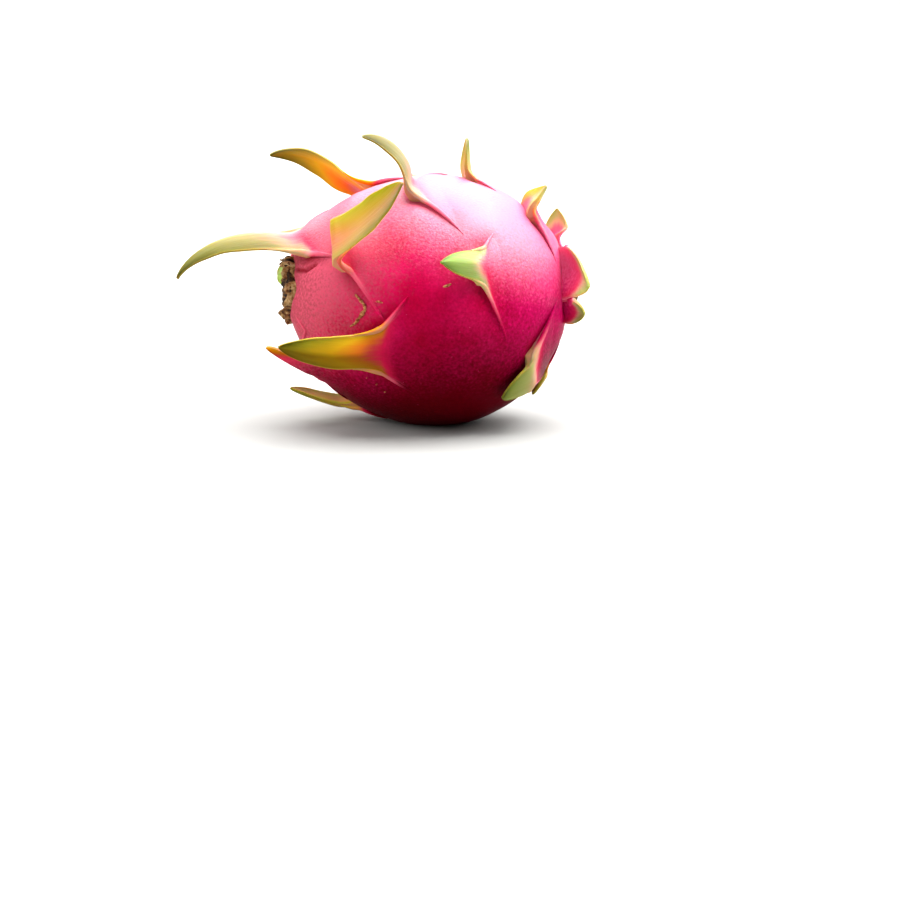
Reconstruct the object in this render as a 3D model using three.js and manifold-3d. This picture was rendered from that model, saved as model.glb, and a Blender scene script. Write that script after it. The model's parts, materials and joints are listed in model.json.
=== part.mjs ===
// Whole dragon fruit, lying on its side.
// Millimetres, +Z up. The origin is the centre of the small flat spot that the fruit rests on.
// The navel with its dried flower faces -X and the cut stem faces +X.

import * as THREE from "three";
import { mergeVertices } from "three/addons/utils/BufferGeometryUtils.js";
import Module from "manifold-3d";

const wasm = await Module();
wasm.setup();

const { clamp, degToRad, lerp, smoothstep } = THREE.MathUtils;

// Body: round across, a little longer on the navel side, with both ends of its axis rising
const BODY_RADIUS = 47;
const NAVEL_HALF_LENGTH = 54.7;
const STEM_HALF_LENGTH = 52;
const NAVEL_RISE = 6;
const STEM_RISE = 3;
const FLAT_DEPTH = 0.9;
const BODY_SIDES = 48;
const BODY_RINGS = 22;

// Navel: a round hollow whose lip is the end of the skin
const NAVEL_LIP_RADIUS = 13;
const NAVEL_MOUTH_RADIUS = 11.9;
const NAVEL_FLOOR_RADIUS = 10.4;
const NAVEL_DEPTH = 6.4;
const LIP_ROUNDING = 0.5;
const FLOOR_ROUNDING = 1.2;

// Stem end: a shallow round recess with a short cut stub standing in it
const RECESS_RADIUS = 6.2;
const RECESS_DEPTH = 2;
const RECESS_CLEAR_RADIUS = 8;
const STUB_RADIUS = 5.3;
const STUB_LENGTH = 4.6;
const STUB_ROUNDING = 0.7;
const STUB_CUT_HOLLOW = 0.4;
const STUB_LOBING = 0.07;
const STUB_SIDES = 18;

// Dried flower: a crumpled cup that sits in the navel and stands a little out of it
const FLOWER_RADIUS = 12;
const FLOWER_RIM_RADIUS = 10.5;
const FLOWER_HOLLOW_RADIUS = 5;
const FLOWER_HOLLOW_DEPTH = 4.2;
const FLOWER_STAND_OUT = 3.4;
const FLOWER_CRUMPLE = 0.9;
const FLOWER_SPREAD = 0.4;
const FLOWER_SIDES = 30;
const FLOWER_SEED = 5;
const NEIGHBOUR_GAP = 0.45;

// Scales: set along a spiral from the navel to the stem, one golden angle apart, shorter each time
const SCALE_COUNT = 21;
const GOLDEN_ANGLE = 137.5;
const FIRST_SCALE_ANGLE = 33;
const SCALE_ANGLE_STEP = 6.6;
const LONGEST_SCALE = 52;
const SHORTENING_COUNT = 14;
const SCALE_SEED = 11;

// How a scale leaves the skin where nothing else is said of it, in degrees and millimetres
const USUAL_BEND = 0.4;
const USUAL_LIFT = 48;
const LIFT_SPREAD = 12;
const USUAL_CURL = -15;
const CURL_SPREAD = 20;
const SWEEP_SPREAD = 5;

// What sets single scales apart from the rule. slide and turn move the root, in degrees along and
// round the fruit. lift is the blade's angle off the skin, reached at the fraction bend of its
// length, and curl its further bend by the tip, in degrees. sweep carries the tip sideways, in
// millimetres, and twist turns the blade about its length, in degrees past the bend. size and width are
// factors, on the whole scale and on its blade, and point says how soon the blade narrows to its tip.
// ridges are the ends of the two ridges, in millimetres along and across the fruit from the root.
const OWN_SHAPE = {
  0: { slide: -4, turn: 20, length: 52, lift: 56, curl: -68, sweep: 4, bend: 0.12, point: 0.9 },
  1: { slide: 2, turn: 10, length: 24, lift: 22, curl: -6, sweep: 0 },
  2: { length: 32, lift: 104, curl: 20 },
  3: {
    slide: 0, turn: -1, length: 44, lift: 154, curl: -10, bend: 0.1, width: 1.2, sweep: -4,
    ridges: [[12, 19], [10, 27]],
  },
  4: { length: 26, lift: 14, curl: -6 },
  5: { turn: 10, length: 40, lift: 70, curl: -70, sweep: 0, twist: 30, width: 0.85 },
  6: {
    slide: -7, turn: 2.5, length: 38.5, lift: 40, curl: -13, bend: 0.3, width: 1.1, sweep: -6,
    ridges: [[8, 20], [10, 16]],
  },
  8: {
    slide: -3.5, turn: -1, length: 30, lift: 78, curl: -80, bend: 0.12, sweep: 0, width: 1.15,
    ridges: [[12, 19], [13, 24]],
  },
  9: { turn: 52, length: 18, lift: 4, curl: -8 },
  11: { turn: -5, length: 22.5, lift: 25, curl: 0, sweep: 2, point: 0.8, ridges: [[4, 13], [8, 23]] },
  12: { turn: 25, length: 18, lift: 6, curl: -10 },
  13: { slide: -11.5, turn: 8.5, length: 14.5, lift: 75, curl: 0, sweep: 0, width: 1.5 },
  14: { slide: 5.5, turn: 6, length: 18, lift: -5, curl: -6, sweep: 0, size: 1, width: 0.95 },
  16: {
    slide: -3.8, turn: -27, length: 10, lift: 82, curl: 9, sweep: 0, size: 0.8, width: 0.9,
    point: 1.2, ridges: [[10, 13], [9, 17]],
  },
  17: { length: 12, lift: 4, curl: -14 },
  18: { slide: 4.5, turn: 25, length: 13, lift: 25, curl: 10, sweep: 0, width: 1.4, twist: 50, point: 0.9 },
  19: { turn: -32, length: 15, lift: 34, curl: 10, size: 1.1, width: 1.4, sweep: 10 },
  20: { slide: -4, turn: -126, length: 7, lift: 60, curl: 10, sweep: 0 },
};

// Root of a full-size scale: swollen, sunk into the skin, with a ridge running off each side
const FULL_SIZE_LENGTH = 45;
const SMALLEST_SIZE = 0.55;
const ROOT_LENGTH = 15;
const ROOT_HALF_WIDTH = 9.5;
const ROOT_HEIGHT = 3;
const ROOT_FADE = 2;
const ROOT_CROWN = 1.5;
const ROOT_SUNK = 2.5;
const ROOT_TUCK = 0.25;
const RIDGE_HEIGHT = 1.6;
const RIDGE_FADE = 0.8;
const RIDGE_ALONG = 12;
const RIDGE_ACROSS = 19;
const ROOT_ROWS = [1, 0.85, 0.55, 0.25, 0];

// Blade of a full-size scale: keeled along its middle, thin at its margins, with a blunt point
const BLADE_HALF_WIDTH = 5.6;
const BLADE_BELLY = 0.15;
const BLADE_SHOULDER = 3;
const USUAL_POINT = 0.62;
const BLADE_FLARE_LENGTH = 5;
const BLADE_THICKNESS = 2.2;
const TIP_THINNING = 0.5;
const MARGIN_THICKNESS = 0.8;
const TIP_HALF_WIDTH = 0.5;
const BLADE_ROWS = [0.1, 0.22, 0.38, 0.55, 0.72, 0.86, 0.95, 1];
const SPINE_STEPS = 24;
const COLUMNS = [-1, -0.55, 0, 0.55, 1];

// Finishes
const PEEL_COLOUR = 0xcf1250;
const PEEL_ROUGHNESS = 0.45;
const DRIED_COLOUR = 0x6a4322;
const DRIED_ROUGHNESS = 0.95;
const STUB_COLOUR = 0xb9a878;
const STUB_ROUGHNESS = 0.8;

const MERGE_DISTANCE = 0.0001;
const SLOPE_STEP = 0.001;

// A repeatable random draw from -1 to 1
function seededDraw(seed) {
  const factor = 1664525;
  const step = 1013904223;
  const range = 2 ** 32;
  let state = seed;
  return () => {
    state = (state * factor + step) % range;
    return (2 * state) / range - 1;
  };
}

function halfLength(x) {
  return x < 0 ? NAVEL_HALF_LENGTH : STEM_HALF_LENGTH;
}

// Height of the fruit's axis above the surface it lies on, at a place along it
function axisHeight(x) {
  const rise = x < 0 ? NAVEL_RISE : STEM_RISE;
  return BODY_RADIUS - FLAT_DEPTH + rise * (x / halfLength(x)) ** 4;
}

// The skin's place along the axis and its radius there: theta runs from the navel to the stem
function skinProfile(theta) {
  const along = -Math.cos(theta);
  return { x: along * halfLength(along), radius: BODY_RADIUS * Math.sin(theta) };
}

// A point of the skin: phi runs from the top towards -Y
function skinPoint(theta, phi) {
  const { x, radius } = skinProfile(theta);
  return new THREE.Vector3(x, -radius * Math.sin(phi), axisHeight(x) + radius * Math.cos(phi));
}

// The skin's directions at a point: towards the navel, round the fruit, and outwards
function skinFrame(theta, phi) {
  const forward = skinPoint(theta - SLOPE_STEP, phi).sub(skinPoint(theta + SLOPE_STEP, phi));
  const around = skinPoint(theta, phi + SLOPE_STEP).sub(skinPoint(theta, phi - SLOPE_STEP));
  forward.normalize();
  around.normalize();
  const outward = forward.clone().cross(around).normalize();
  return { forward, around, outward };
}

// The angle from a pole at which the skin has a given radius
function poleAngle(radius) {
  return Math.asin(radius / BODY_RADIUS);
}

const NAVEL_LIP_X = skinProfile(poleAngle(NAVEL_LIP_RADIUS)).x;
const NAVEL_FLOOR_X = NAVEL_LIP_X + NAVEL_DEPTH;
const RECESS_FLOOR_X = skinProfile(Math.PI - poleAngle(RECESS_RADIUS)).x - RECESS_DEPTH;
const LAST_ROOT_ANGLE = Math.PI - poleAngle(RECESS_CLEAR_RADIUS);

function withSharedVertices(geometry) {
  geometry.deleteAttribute("normal");
  geometry.deleteAttribute("uv");
  return mergeVertices(geometry, MERGE_DISTANCE);
}

function solidOf(geometry) {
  const shared = withSharedVertices(geometry);
  const vertProperties = new Float32Array(shared.attributes.position.array);
  const triVerts = new Uint32Array(shared.index.array);
  return new wasm.Manifold(new wasm.Mesh({ numProp: 3, vertProperties, triVerts }));
}

function geometryOf(solid) {
  const mesh = solid.getMesh();
  const geometry = new THREE.BufferGeometry();
  geometry.setAttribute("position", new THREE.BufferAttribute(mesh.vertProperties, 3));
  geometry.setIndex(new THREE.BufferAttribute(mesh.triVerts, 1));
  return geometry;
}

// A turned piece whose axis follows the fruit's own, from [radius, x] points in order from -X to +X
function turnedAlongFruit(outline, sides, reshape = () => {}) {
  const points = outline.map(([radius, x]) => new THREE.Vector2(radius, x));
  const lathe = new THREE.LatheGeometry(points, sides);
  lathe.rotateZ(-Math.PI / 2);
  const turned = withSharedVertices(lathe);
  const position = turned.attributes.position;
  const point = new THREE.Vector3();
  for (let i = 0; i < position.count; i += 1) {
    point.fromBufferAttribute(position, i);
    reshape(point);
    point.z += axisHeight(point.x);
    position.setXYZ(i, point.x, point.y, point.z);
  }
  return turned;
}

// Body with its navel hollow and stem recess, and the flat spot cut from its underside
function bodySolid() {
  const outline = [
    [0, NAVEL_FLOOR_X],
    [NAVEL_FLOOR_RADIUS - FLOOR_ROUNDING, NAVEL_FLOOR_X],
    [NAVEL_FLOOR_RADIUS, NAVEL_FLOOR_X - FLOOR_ROUNDING],
    [NAVEL_MOUTH_RADIUS, NAVEL_LIP_X + LIP_ROUNDING],
    [NAVEL_LIP_RADIUS - LIP_ROUNDING, NAVEL_LIP_X],
  ];
  const start = poleAngle(NAVEL_LIP_RADIUS);
  const end = Math.PI - poleAngle(RECESS_RADIUS);
  for (let ring = 0; ring <= BODY_RINGS; ring += 1) {
    const { x, radius } = skinProfile(lerp(start, end, ring / BODY_RINGS));
    outline.push([radius, x]);
  }
  outline.push([RECESS_RADIUS, RECESS_FLOOR_X], [0, RECESS_FLOOR_X]);
  const below = new THREE.BoxGeometry(4 * BODY_RADIUS, 4 * BODY_RADIUS, BODY_RADIUS);
  below.translate(0, 0, -BODY_RADIUS / 2);
  return solidOf(turnedAlongFruit(outline, BODY_SIDES)).subtract(solidOf(below));
}

// The scale with a given number along the spiral: where it grows and how it bends
function scaleShape(number, draw) {
  const lift = USUAL_LIFT + LIFT_SPREAD * draw();
  const curl = USUAL_CURL + CURL_SPREAD * draw();
  const sweep = SWEEP_SPREAD * draw();
  const usualLength = LONGEST_SCALE * Math.exp(-number / SHORTENING_COUNT);
  const own = { slide: 0, turn: 0, length: usualLength, lift, curl, sweep, ...OWN_SHAPE[number] };
  const usualSize = clamp(Math.sqrt(own.length / FULL_SIZE_LENGTH), SMALLEST_SIZE, 1);
  const size = own.size ?? usualSize;
  const usualRidge = [RIDGE_ALONG * size, RIDGE_ACROSS * size];
  const theta = degToRad(FIRST_SCALE_ANGLE + SCALE_ANGLE_STEP * number + own.slide);
  const phi = degToRad(GOLDEN_ANGLE * number + own.turn);
  return {
    theta,
    phi,
    size,
    length: own.length,
    sweep: own.sweep,
    lift: degToRad(own.lift),
    curl: degToRad(own.curl),
    bend: own.bend ?? USUAL_BEND,
    twist: degToRad(own.twist ?? 0),
    width: own.width ?? 1,
    point: own.point ?? USUAL_POINT,
    ridges: own.ridges ?? [usualRidge, usualRidge],
    frame: skinFrame(theta, phi),
  };
}

// A point of the root: reach runs from 0 at the blade to 1 where the root has sunk into the skin,
// side from -1 to 1 between the two ridges, and height is measured off the skin
function rootPoint(scale, reach, side, height) {
  const [ridgeAlong, ridgeAcross] = scale.ridges[side < 0 ? 0 : 1];
  const along = lerp(ROOT_LENGTH * scale.size, ridgeAlong, side * side);
  const across = side * lerp(ROOT_HALF_WIDTH * scale.size, ridgeAcross, reach);
  const { x, radius } = skinProfile(scale.theta);
  const alongRadius = Math.hypot(halfLength(x) * Math.sin(scale.theta), BODY_RADIUS * Math.cos(scale.theta));
  const theta = scale.theta + reach * Math.min(along / alongRadius, LAST_ROOT_ANGLE - scale.theta);
  const aroundRadius = Math.max(skinProfile(theta).radius, Math.min(radius, 2 * RECESS_RADIUS));
  const phi = scale.phi + across / aroundRadius;
  return skinPoint(theta, phi).addScaledVector(skinFrame(theta, phi).outward, height);
}

function rootHeight(scale, reach, side) {
  const crown = ROOT_HEIGHT * scale.size * (1 - reach) ** ROOT_FADE;
  const ridge = RIDGE_HEIGHT * scale.size * (1 - reach) ** RIDGE_FADE;
  return lerp(crown, ridge, Math.abs(side) ** ROOT_CROWN) - ROOT_TUCK * reach;
}

function rootRow(scale, reach) {
  const top = COLUMNS.map((side) => rootPoint(scale, reach, side, rootHeight(scale, reach, side)));
  const bottom = COLUMNS.map((side) => rootPoint(scale, reach, side, -ROOT_SUNK));
  return { top, bottom };
}

// The blade's angle off the skin at a fraction of its length
function bladeAngle(scale, fraction) {
  const start = Math.atan2(ROOT_FADE * ROOT_HEIGHT, ROOT_LENGTH);
  const bent = lerp(start, scale.lift, smoothstep(fraction, 0, scale.bend));
  return bent + scale.curl * fraction ** 2;
}

function bladeHalfWidth(scale, fraction) {
  const own = BLADE_HALF_WIDTH * scale.size * scale.width;
  const belly = 1 + BLADE_BELLY * Math.sin(Math.PI * fraction);
  const taper = (1 - fraction ** BLADE_SHOULDER) ** scale.point;
  const flare = ROOT_HALF_WIDTH * scale.size - own;
  const fade = Math.exp((-fraction * scale.length) / BLADE_FLARE_LENGTH);
  return Math.max(own * belly * taper + flare * fade, TIP_HALF_WIDTH);
}

// The middle of the blade's outer face at a fraction of its length
function spinePoint(scale, fraction) {
  const { forward, around, outward } = scale.frame;
  const point = rootPoint(scale, 0, 0, rootHeight(scale, 0, 0));
  const length = (scale.length * fraction) / SPINE_STEPS;
  for (let i = 0; i < SPINE_STEPS; i += 1) {
    const angle = bladeAngle(scale, (fraction * (i + 0.5)) / SPINE_STEPS);
    point.addScaledVector(forward, length * Math.cos(angle));
    point.addScaledVector(outward, length * Math.sin(angle));
  }
  return point.addScaledVector(around, scale.sweep * fraction ** 2);
}

// The outer and inner face of the blade at a fraction of its length, one point for each column.
// The section starts as the root's own and shrinks with the blade's width.
function bladeRow(scale, fraction) {
  const { forward, around, outward } = scale.frame;
  const angle = bladeAngle(scale, fraction);
  const twist = scale.twist * smoothstep(fraction, 0, scale.bend);
  const flatFace = outward.clone().multiplyScalar(Math.cos(angle));
  flatFace.addScaledVector(forward, -Math.sin(angle));
  const face = flatFace.clone().multiplyScalar(Math.cos(twist)).addScaledVector(around, -Math.sin(twist));
  const across = around.clone().multiplyScalar(Math.cos(twist)).addScaledVector(flatFace, Math.sin(twist));
  const spread = bladeHalfWidth(scale, fraction) / (ROOT_HALF_WIDTH * scale.size);
  const middle = spinePoint(scale, fraction);
  const start = spinePoint(scale, 0);
  const middleThickness = BLADE_THICKNESS * scale.size * (1 - TIP_THINNING * fraction);
  const sinking = Math.exp((-fraction * scale.length) / ROOT_SUNK);
  const top = [];
  const bottom = [];
  for (const side of COLUMNS) {
    const height = rootHeight(scale, 0, side);
    const offset = rootPoint(scale, 0, side, height).sub(start);
    const point = middle.clone();
    point.addScaledVector(across, spread * offset.dot(around));
    point.addScaledVector(face, spread * offset.dot(outward));
    const thickness = Math.max(lerp(middleThickness, MARGIN_THICKNESS, side * side), MARGIN_THICKNESS);
    const sunk = (height + ROOT_SUNK) * sinking;
    top.push(point);
    bottom.push(point.clone().addScaledVector(face, -thickness - sunk));
  }
  return { top, bottom };
}

// A closed sheet from rows of outer and inner points, with both faces split along like diagonals
function sheetSolid(rows) {
  const columns = rows[0].top.length;
  const positions = rows.flatMap((row) => [...row.top, ...row.bottom]).flatMap((p) => p.toArray());
  const top = (row, column) => row * columns * 2 + column;
  const bottom = (row, column) => top(row, column) + columns;
  const index = [];
  const last = columns - 1;
  const end = rows.length - 1;
  for (let i = 0; i < end; i += 1) {
    for (let j = 0; j < last; j += 1) {
      index.push(top(i, j), top(i + 1, j), top(i + 1, j + 1));
      index.push(top(i, j), top(i + 1, j + 1), top(i, j + 1));
      index.push(bottom(i, j), bottom(i + 1, j + 1), bottom(i + 1, j));
      index.push(bottom(i, j), bottom(i, j + 1), bottom(i + 1, j + 1));
    }
    index.push(top(i, 0), bottom(i, 0), bottom(i + 1, 0));
    index.push(top(i, 0), bottom(i + 1, 0), top(i + 1, 0));
    index.push(top(i, last), bottom(i + 1, last), bottom(i, last));
    index.push(top(i, last), top(i + 1, last), bottom(i + 1, last));
  }
  for (let j = 0; j < last; j += 1) {
    index.push(top(0, j), top(0, j + 1), bottom(0, j + 1));
    index.push(top(0, j), bottom(0, j + 1), bottom(0, j));
    index.push(top(end, j), bottom(end, j + 1), top(end, j + 1));
    index.push(top(end, j), bottom(end, j), bottom(end, j + 1));
  }
  const geometry = new THREE.BufferGeometry();
  geometry.setAttribute("position", new THREE.Float32BufferAttribute(positions, 3));
  geometry.setIndex(index);
  return solidOf(geometry);
}

function scaleSolid(scale) {
  const root = ROOT_ROWS.map((reach) => rootRow(scale, reach));
  const blade = BLADE_ROWS.map((fraction) => bladeRow(scale, fraction));
  return sheetSolid([...root, ...blade]);
}

// The fruit: body and scales grown together as one solid
function fruitGeometry() {
  const draw = seededDraw(SCALE_SEED);
  let fruit = bodySolid();
  for (let number = 0; number < SCALE_COUNT; number += 1) {
    fruit = fruit.add(scaleSolid(scaleShape(number, draw)));
  }
  return geometryOf(fruit);
}

// Dried flower: a cup with a crumpled rim, clear of the navel's wall and floor all round
function flowerGeometry() {
  const front = NAVEL_LIP_X - FLOWER_STAND_OUT;
  const back = NAVEL_FLOOR_X - NEIGHBOUR_GAP;
  const floorRadius = NAVEL_FLOOR_RADIUS - NEIGHBOUR_GAP;
  const outline = [
    [0, front + FLOWER_HOLLOW_DEPTH],
    [FLOWER_HOLLOW_RADIUS, front + 0.9 * FLOWER_HOLLOW_DEPTH],
    [lerp(FLOWER_HOLLOW_RADIUS, FLOWER_RIM_RADIUS, 0.6), front + 0.3 * FLOWER_HOLLOW_DEPTH],
    [FLOWER_RIM_RADIUS, front],
    [FLOWER_RADIUS, front + 0.4 * FLOWER_STAND_OUT],
    [NAVEL_MOUTH_RADIUS - NEIGHBOUR_GAP, NAVEL_LIP_X],
    [floorRadius, back - FLOOR_ROUNDING],
    [floorRadius - FLOOR_ROUNDING, back],
    [0, back],
  ];
  const draw = seededDraw(FLOWER_SEED);
  const folds = Array.from({ length: FLOWER_SIDES }, draw);
  const crumple = (point) => {
    const radius = Math.hypot(point.y, point.z);
    const outside = clamp((NAVEL_LIP_X - point.x) / FLOWER_STAND_OUT, 0, 1);
    const turn = Math.atan2(point.y, point.z) / (2 * Math.PI);
    const fold = folds[Math.round((turn + 1) * FLOWER_SIDES) % FLOWER_SIDES];
    const amount = FLOWER_CRUMPLE * outside * fold * smoothstep(radius, 0, FLOWER_RIM_RADIUS);
    point.x += amount;
    point.y *= 1 + (FLOWER_SPREAD * amount) / FLOWER_RADIUS;
    point.z *= 1 + (FLOWER_SPREAD * amount) / FLOWER_RADIUS;
  };
  return turnedAlongFruit(outline, FLOWER_SIDES, crumple);
}

// Cut stem: a short stub, three-sided like the stem it grew on, with a slightly hollow cut face
function stubGeometry() {
  const foot = RECESS_FLOOR_X + NEIGHBOUR_GAP;
  const cut = foot + STUB_LENGTH;
  const outline = [
    [0, foot],
    [STUB_RADIUS, foot],
    [STUB_RADIUS, cut - STUB_ROUNDING],
    [STUB_RADIUS - STUB_ROUNDING, cut],
    [0, cut - STUB_CUT_HOLLOW],
  ];
  const lobe = (point) => {
    const wave = 1 + STUB_LOBING * Math.cos(3 * Math.atan2(point.y, point.z));
    point.y *= wave;
    point.z *= wave;
  };
  return turnedAlongFruit(outline, STUB_SIDES, lobe);
}

function piece(name, geometry, color, roughness) {
  geometry.computeVertexNormals();
  const material = new THREE.MeshStandardMaterial({ color, roughness, metalness: 0 });
  const mesh = new THREE.Mesh(geometry, material);
  mesh.name = name;
  return mesh;
}

const dragonFruit = new THREE.Group();
dragonFruit.add(piece("fruit", fruitGeometry(), PEEL_COLOUR, PEEL_ROUGHNESS));
dragonFruit.add(piece("dried_flower", flowerGeometry(), DRIED_COLOUR, DRIED_ROUGHNESS));
dragonFruit.add(piece("cut_stem", stubGeometry(), STUB_COLOUR, STUB_ROUGHNESS));

export default dragonFruit;
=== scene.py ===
# %% [markdown]
# # A whole dragon fruit
# A dragon fruit is a smooth, waxy, pink body with long leaf-like scales that grow out of its peel.
# The CAD model gives its true size and place, in coarse facets. This lesson grows the same forms
# again with many more points, so that the margins are thin, the skin is uneven and the colours run
# from pink through orange and yellow to green along every scale.

import json
import math
from types import SimpleNamespace

import bpy
import numpy as np
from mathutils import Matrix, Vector, noise

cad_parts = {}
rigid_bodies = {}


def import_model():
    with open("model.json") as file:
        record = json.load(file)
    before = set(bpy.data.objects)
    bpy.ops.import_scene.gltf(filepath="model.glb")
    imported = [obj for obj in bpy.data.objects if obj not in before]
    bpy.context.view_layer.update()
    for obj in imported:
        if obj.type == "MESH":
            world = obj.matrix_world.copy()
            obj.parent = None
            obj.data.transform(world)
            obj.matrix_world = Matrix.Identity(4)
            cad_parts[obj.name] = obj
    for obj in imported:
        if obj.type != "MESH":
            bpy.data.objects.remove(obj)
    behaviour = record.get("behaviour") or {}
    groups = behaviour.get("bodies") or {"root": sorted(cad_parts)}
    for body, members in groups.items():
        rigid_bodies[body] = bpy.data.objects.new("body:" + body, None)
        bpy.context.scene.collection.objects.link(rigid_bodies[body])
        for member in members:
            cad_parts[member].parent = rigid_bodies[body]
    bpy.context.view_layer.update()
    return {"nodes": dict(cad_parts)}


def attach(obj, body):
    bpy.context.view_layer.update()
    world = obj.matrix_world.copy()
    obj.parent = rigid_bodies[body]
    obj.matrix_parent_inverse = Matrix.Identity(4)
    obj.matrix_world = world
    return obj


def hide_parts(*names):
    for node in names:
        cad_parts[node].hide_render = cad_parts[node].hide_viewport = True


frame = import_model()
print("nodes in the frame:", ", ".join(sorted(frame["nodes"])))

# %% [markdown]
# ## Meshes from numbers
# Every piece here is worked out as a grid of points in millimetres, so one helper turns a grid into
# a Blender mesh in metres. Numbers that the colours need later, such as how far along a scale a
# point lies, are kept on the corners of the faces. Corners are chosen because a union of solids
# carries them along, while it leaves new points without a number.

# %% Mesh helpers
MM = 0.001


def add_piece(name, points, faces):
    mesh = bpy.data.meshes.new(name)
    mesh.from_pydata((points.reshape(-1, 3) * MM).tolist(), [], faces)
    mesh.shade_smooth()
    piece = bpy.data.objects.new(name, mesh)
    bpy.context.scene.collection.objects.link(piece)
    return piece


def keep_numbers(piece, shape, **numbers):
    mesh = piece.data
    vertex_of_corner = np.empty(len(mesh.loops), np.int32)
    mesh.loops.foreach_get("vertex_index", vertex_of_corner)
    for name, value in numbers.items():
        per_vertex = np.broadcast_to(value, shape).ravel()
        layer = mesh.attributes.new(name, "FLOAT", "CORNER")
        layer.data.foreach_set("value", per_vertex[vertex_of_corner].astype(np.float32))


def unit(vectors):
    return vectors / np.linalg.norm(vectors, axis=-1, keepdims=True)


def lerp(start, end, share):
    return start + (end - start) * share


def smooth_step(value, low, high):
    share = np.clip((value - low) / (high - low), 0, 1)
    return share * share * (3 - 2 * share)


# %% [markdown]
# ## Unevenness
# No fruit is a perfect ball. Smooth noise gives the shallow dents and swellings of a real one. Perlin
# noise is used because it never jumps. Every use of it has a number of its own, which shifts the
# noise by a fixed amount, so no two forms share their waves and the fruit is the same at every run.

# %% Smooth noise
NOISE_SHIFT = Vector((7.3, 3.1, 5.7))


def waves(points, wavelength, use):
    shift = NOISE_SHIFT * use
    flat = (points.reshape(-1, 3) / wavelength).tolist()
    values = np.array([noise.noise(Vector(point) + shift) for point in flat])
    return values.reshape(points.shape[:-1])


# %% [markdown]
# ## The body's form
# The body is round across and a little longer towards the navel, and both ends of its axis rise
# a little. A point of the skin is named by two angles: theta runs from the navel to the stem, phi
# from the top towards the viewer. All the scales stand on this skin, so it comes first.

# %% Body formula
BODY_RADIUS = 47.0
NAVEL_HALF_LENGTH = 54.7
STEM_HALF_LENGTH = 52.0
NAVEL_RISE = 6.0
STEM_RISE = 3.0
FLAT_DEPTH = 0.9
SLOPE_STEP = 0.001


def half_length(x):
    return np.where(x < 0, NAVEL_HALF_LENGTH, STEM_HALF_LENGTH)


def axis_height(x):
    rise = np.where(x < 0, NAVEL_RISE, STEM_RISE)
    return BODY_RADIUS - FLAT_DEPTH + rise * (x / half_length(x)) ** 4


def skin_profile(theta):
    along = -np.cos(theta)
    return along * half_length(along), BODY_RADIUS * np.sin(theta)


def skin_point(theta, phi):
    x, radius = skin_profile(theta)
    place = (x, -radius * np.sin(phi), axis_height(x) + radius * np.cos(phi))
    return np.stack(np.broadcast_arrays(*place), axis=-1)


def skin_frame(theta, phi):
    forward = unit(skin_point(theta - SLOPE_STEP, phi) - skin_point(theta + SLOPE_STEP, phi))
    around = unit(skin_point(theta, phi + SLOPE_STEP) - skin_point(theta, phi - SLOPE_STEP))
    return forward, around, unit(np.cross(forward, around))


# %% [markdown]
# ## Dents of the skin
# The skin swells and sinks by less than a millimetre. Body and scale roots both ask this function,
# so a root that sinks into the skin meets it everywhere.

# %% Relief of the skin
SWELL_WAVELENGTH = 34.0
SWELL_HEIGHT = 0.9
DENT_WAVELENGTH = 12.0
DENT_HEIGHT = 0.3


def relief(points):
    swell = SWELL_HEIGHT * waves(points, SWELL_WAVELENGTH, 1)
    return swell + DENT_HEIGHT * waves(points, DENT_WAVELENGTH, 2)


# %% [markdown]
# ## Where the scales grow
# Scales stand on a spiral, one golden angle apart, as leaves do on most stems, and get shorter
# towards the stem. A seeded draw gives each its own bend. What is seen of single scales on the
# real fruit is written beside their number: shape first, then how green, how pale and how late in
# greening they are.

# %% Scale rule
SCALE_COUNT = 21
GOLDEN_ANGLE = 137.5
FIRST_SCALE_ANGLE = 33.0
SCALE_ANGLE_STEP = 6.6
LONGEST_SCALE = 52.0
SHORTENING_COUNT = 14.0
SCALE_SEED = 11
FULL_SIZE_LENGTH = 45.0
SMALLEST_SIZE = 0.55
USUAL_BEND = 0.4
USUAL_POINT = 0.62
USUAL_LIFT = 48.0
LIFT_SPREAD = 12.0
USUAL_CURL = -15.0
CURL_SPREAD = 20.0
SWEEP_SPREAD = 5.0
RIDGE_ALONG = 12.0
RIDGE_ACROSS = 19.0
USUAL_GREEN = 0.45
USUAL_PALE = 0.0
USUAL_LATE = 0.1

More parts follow.
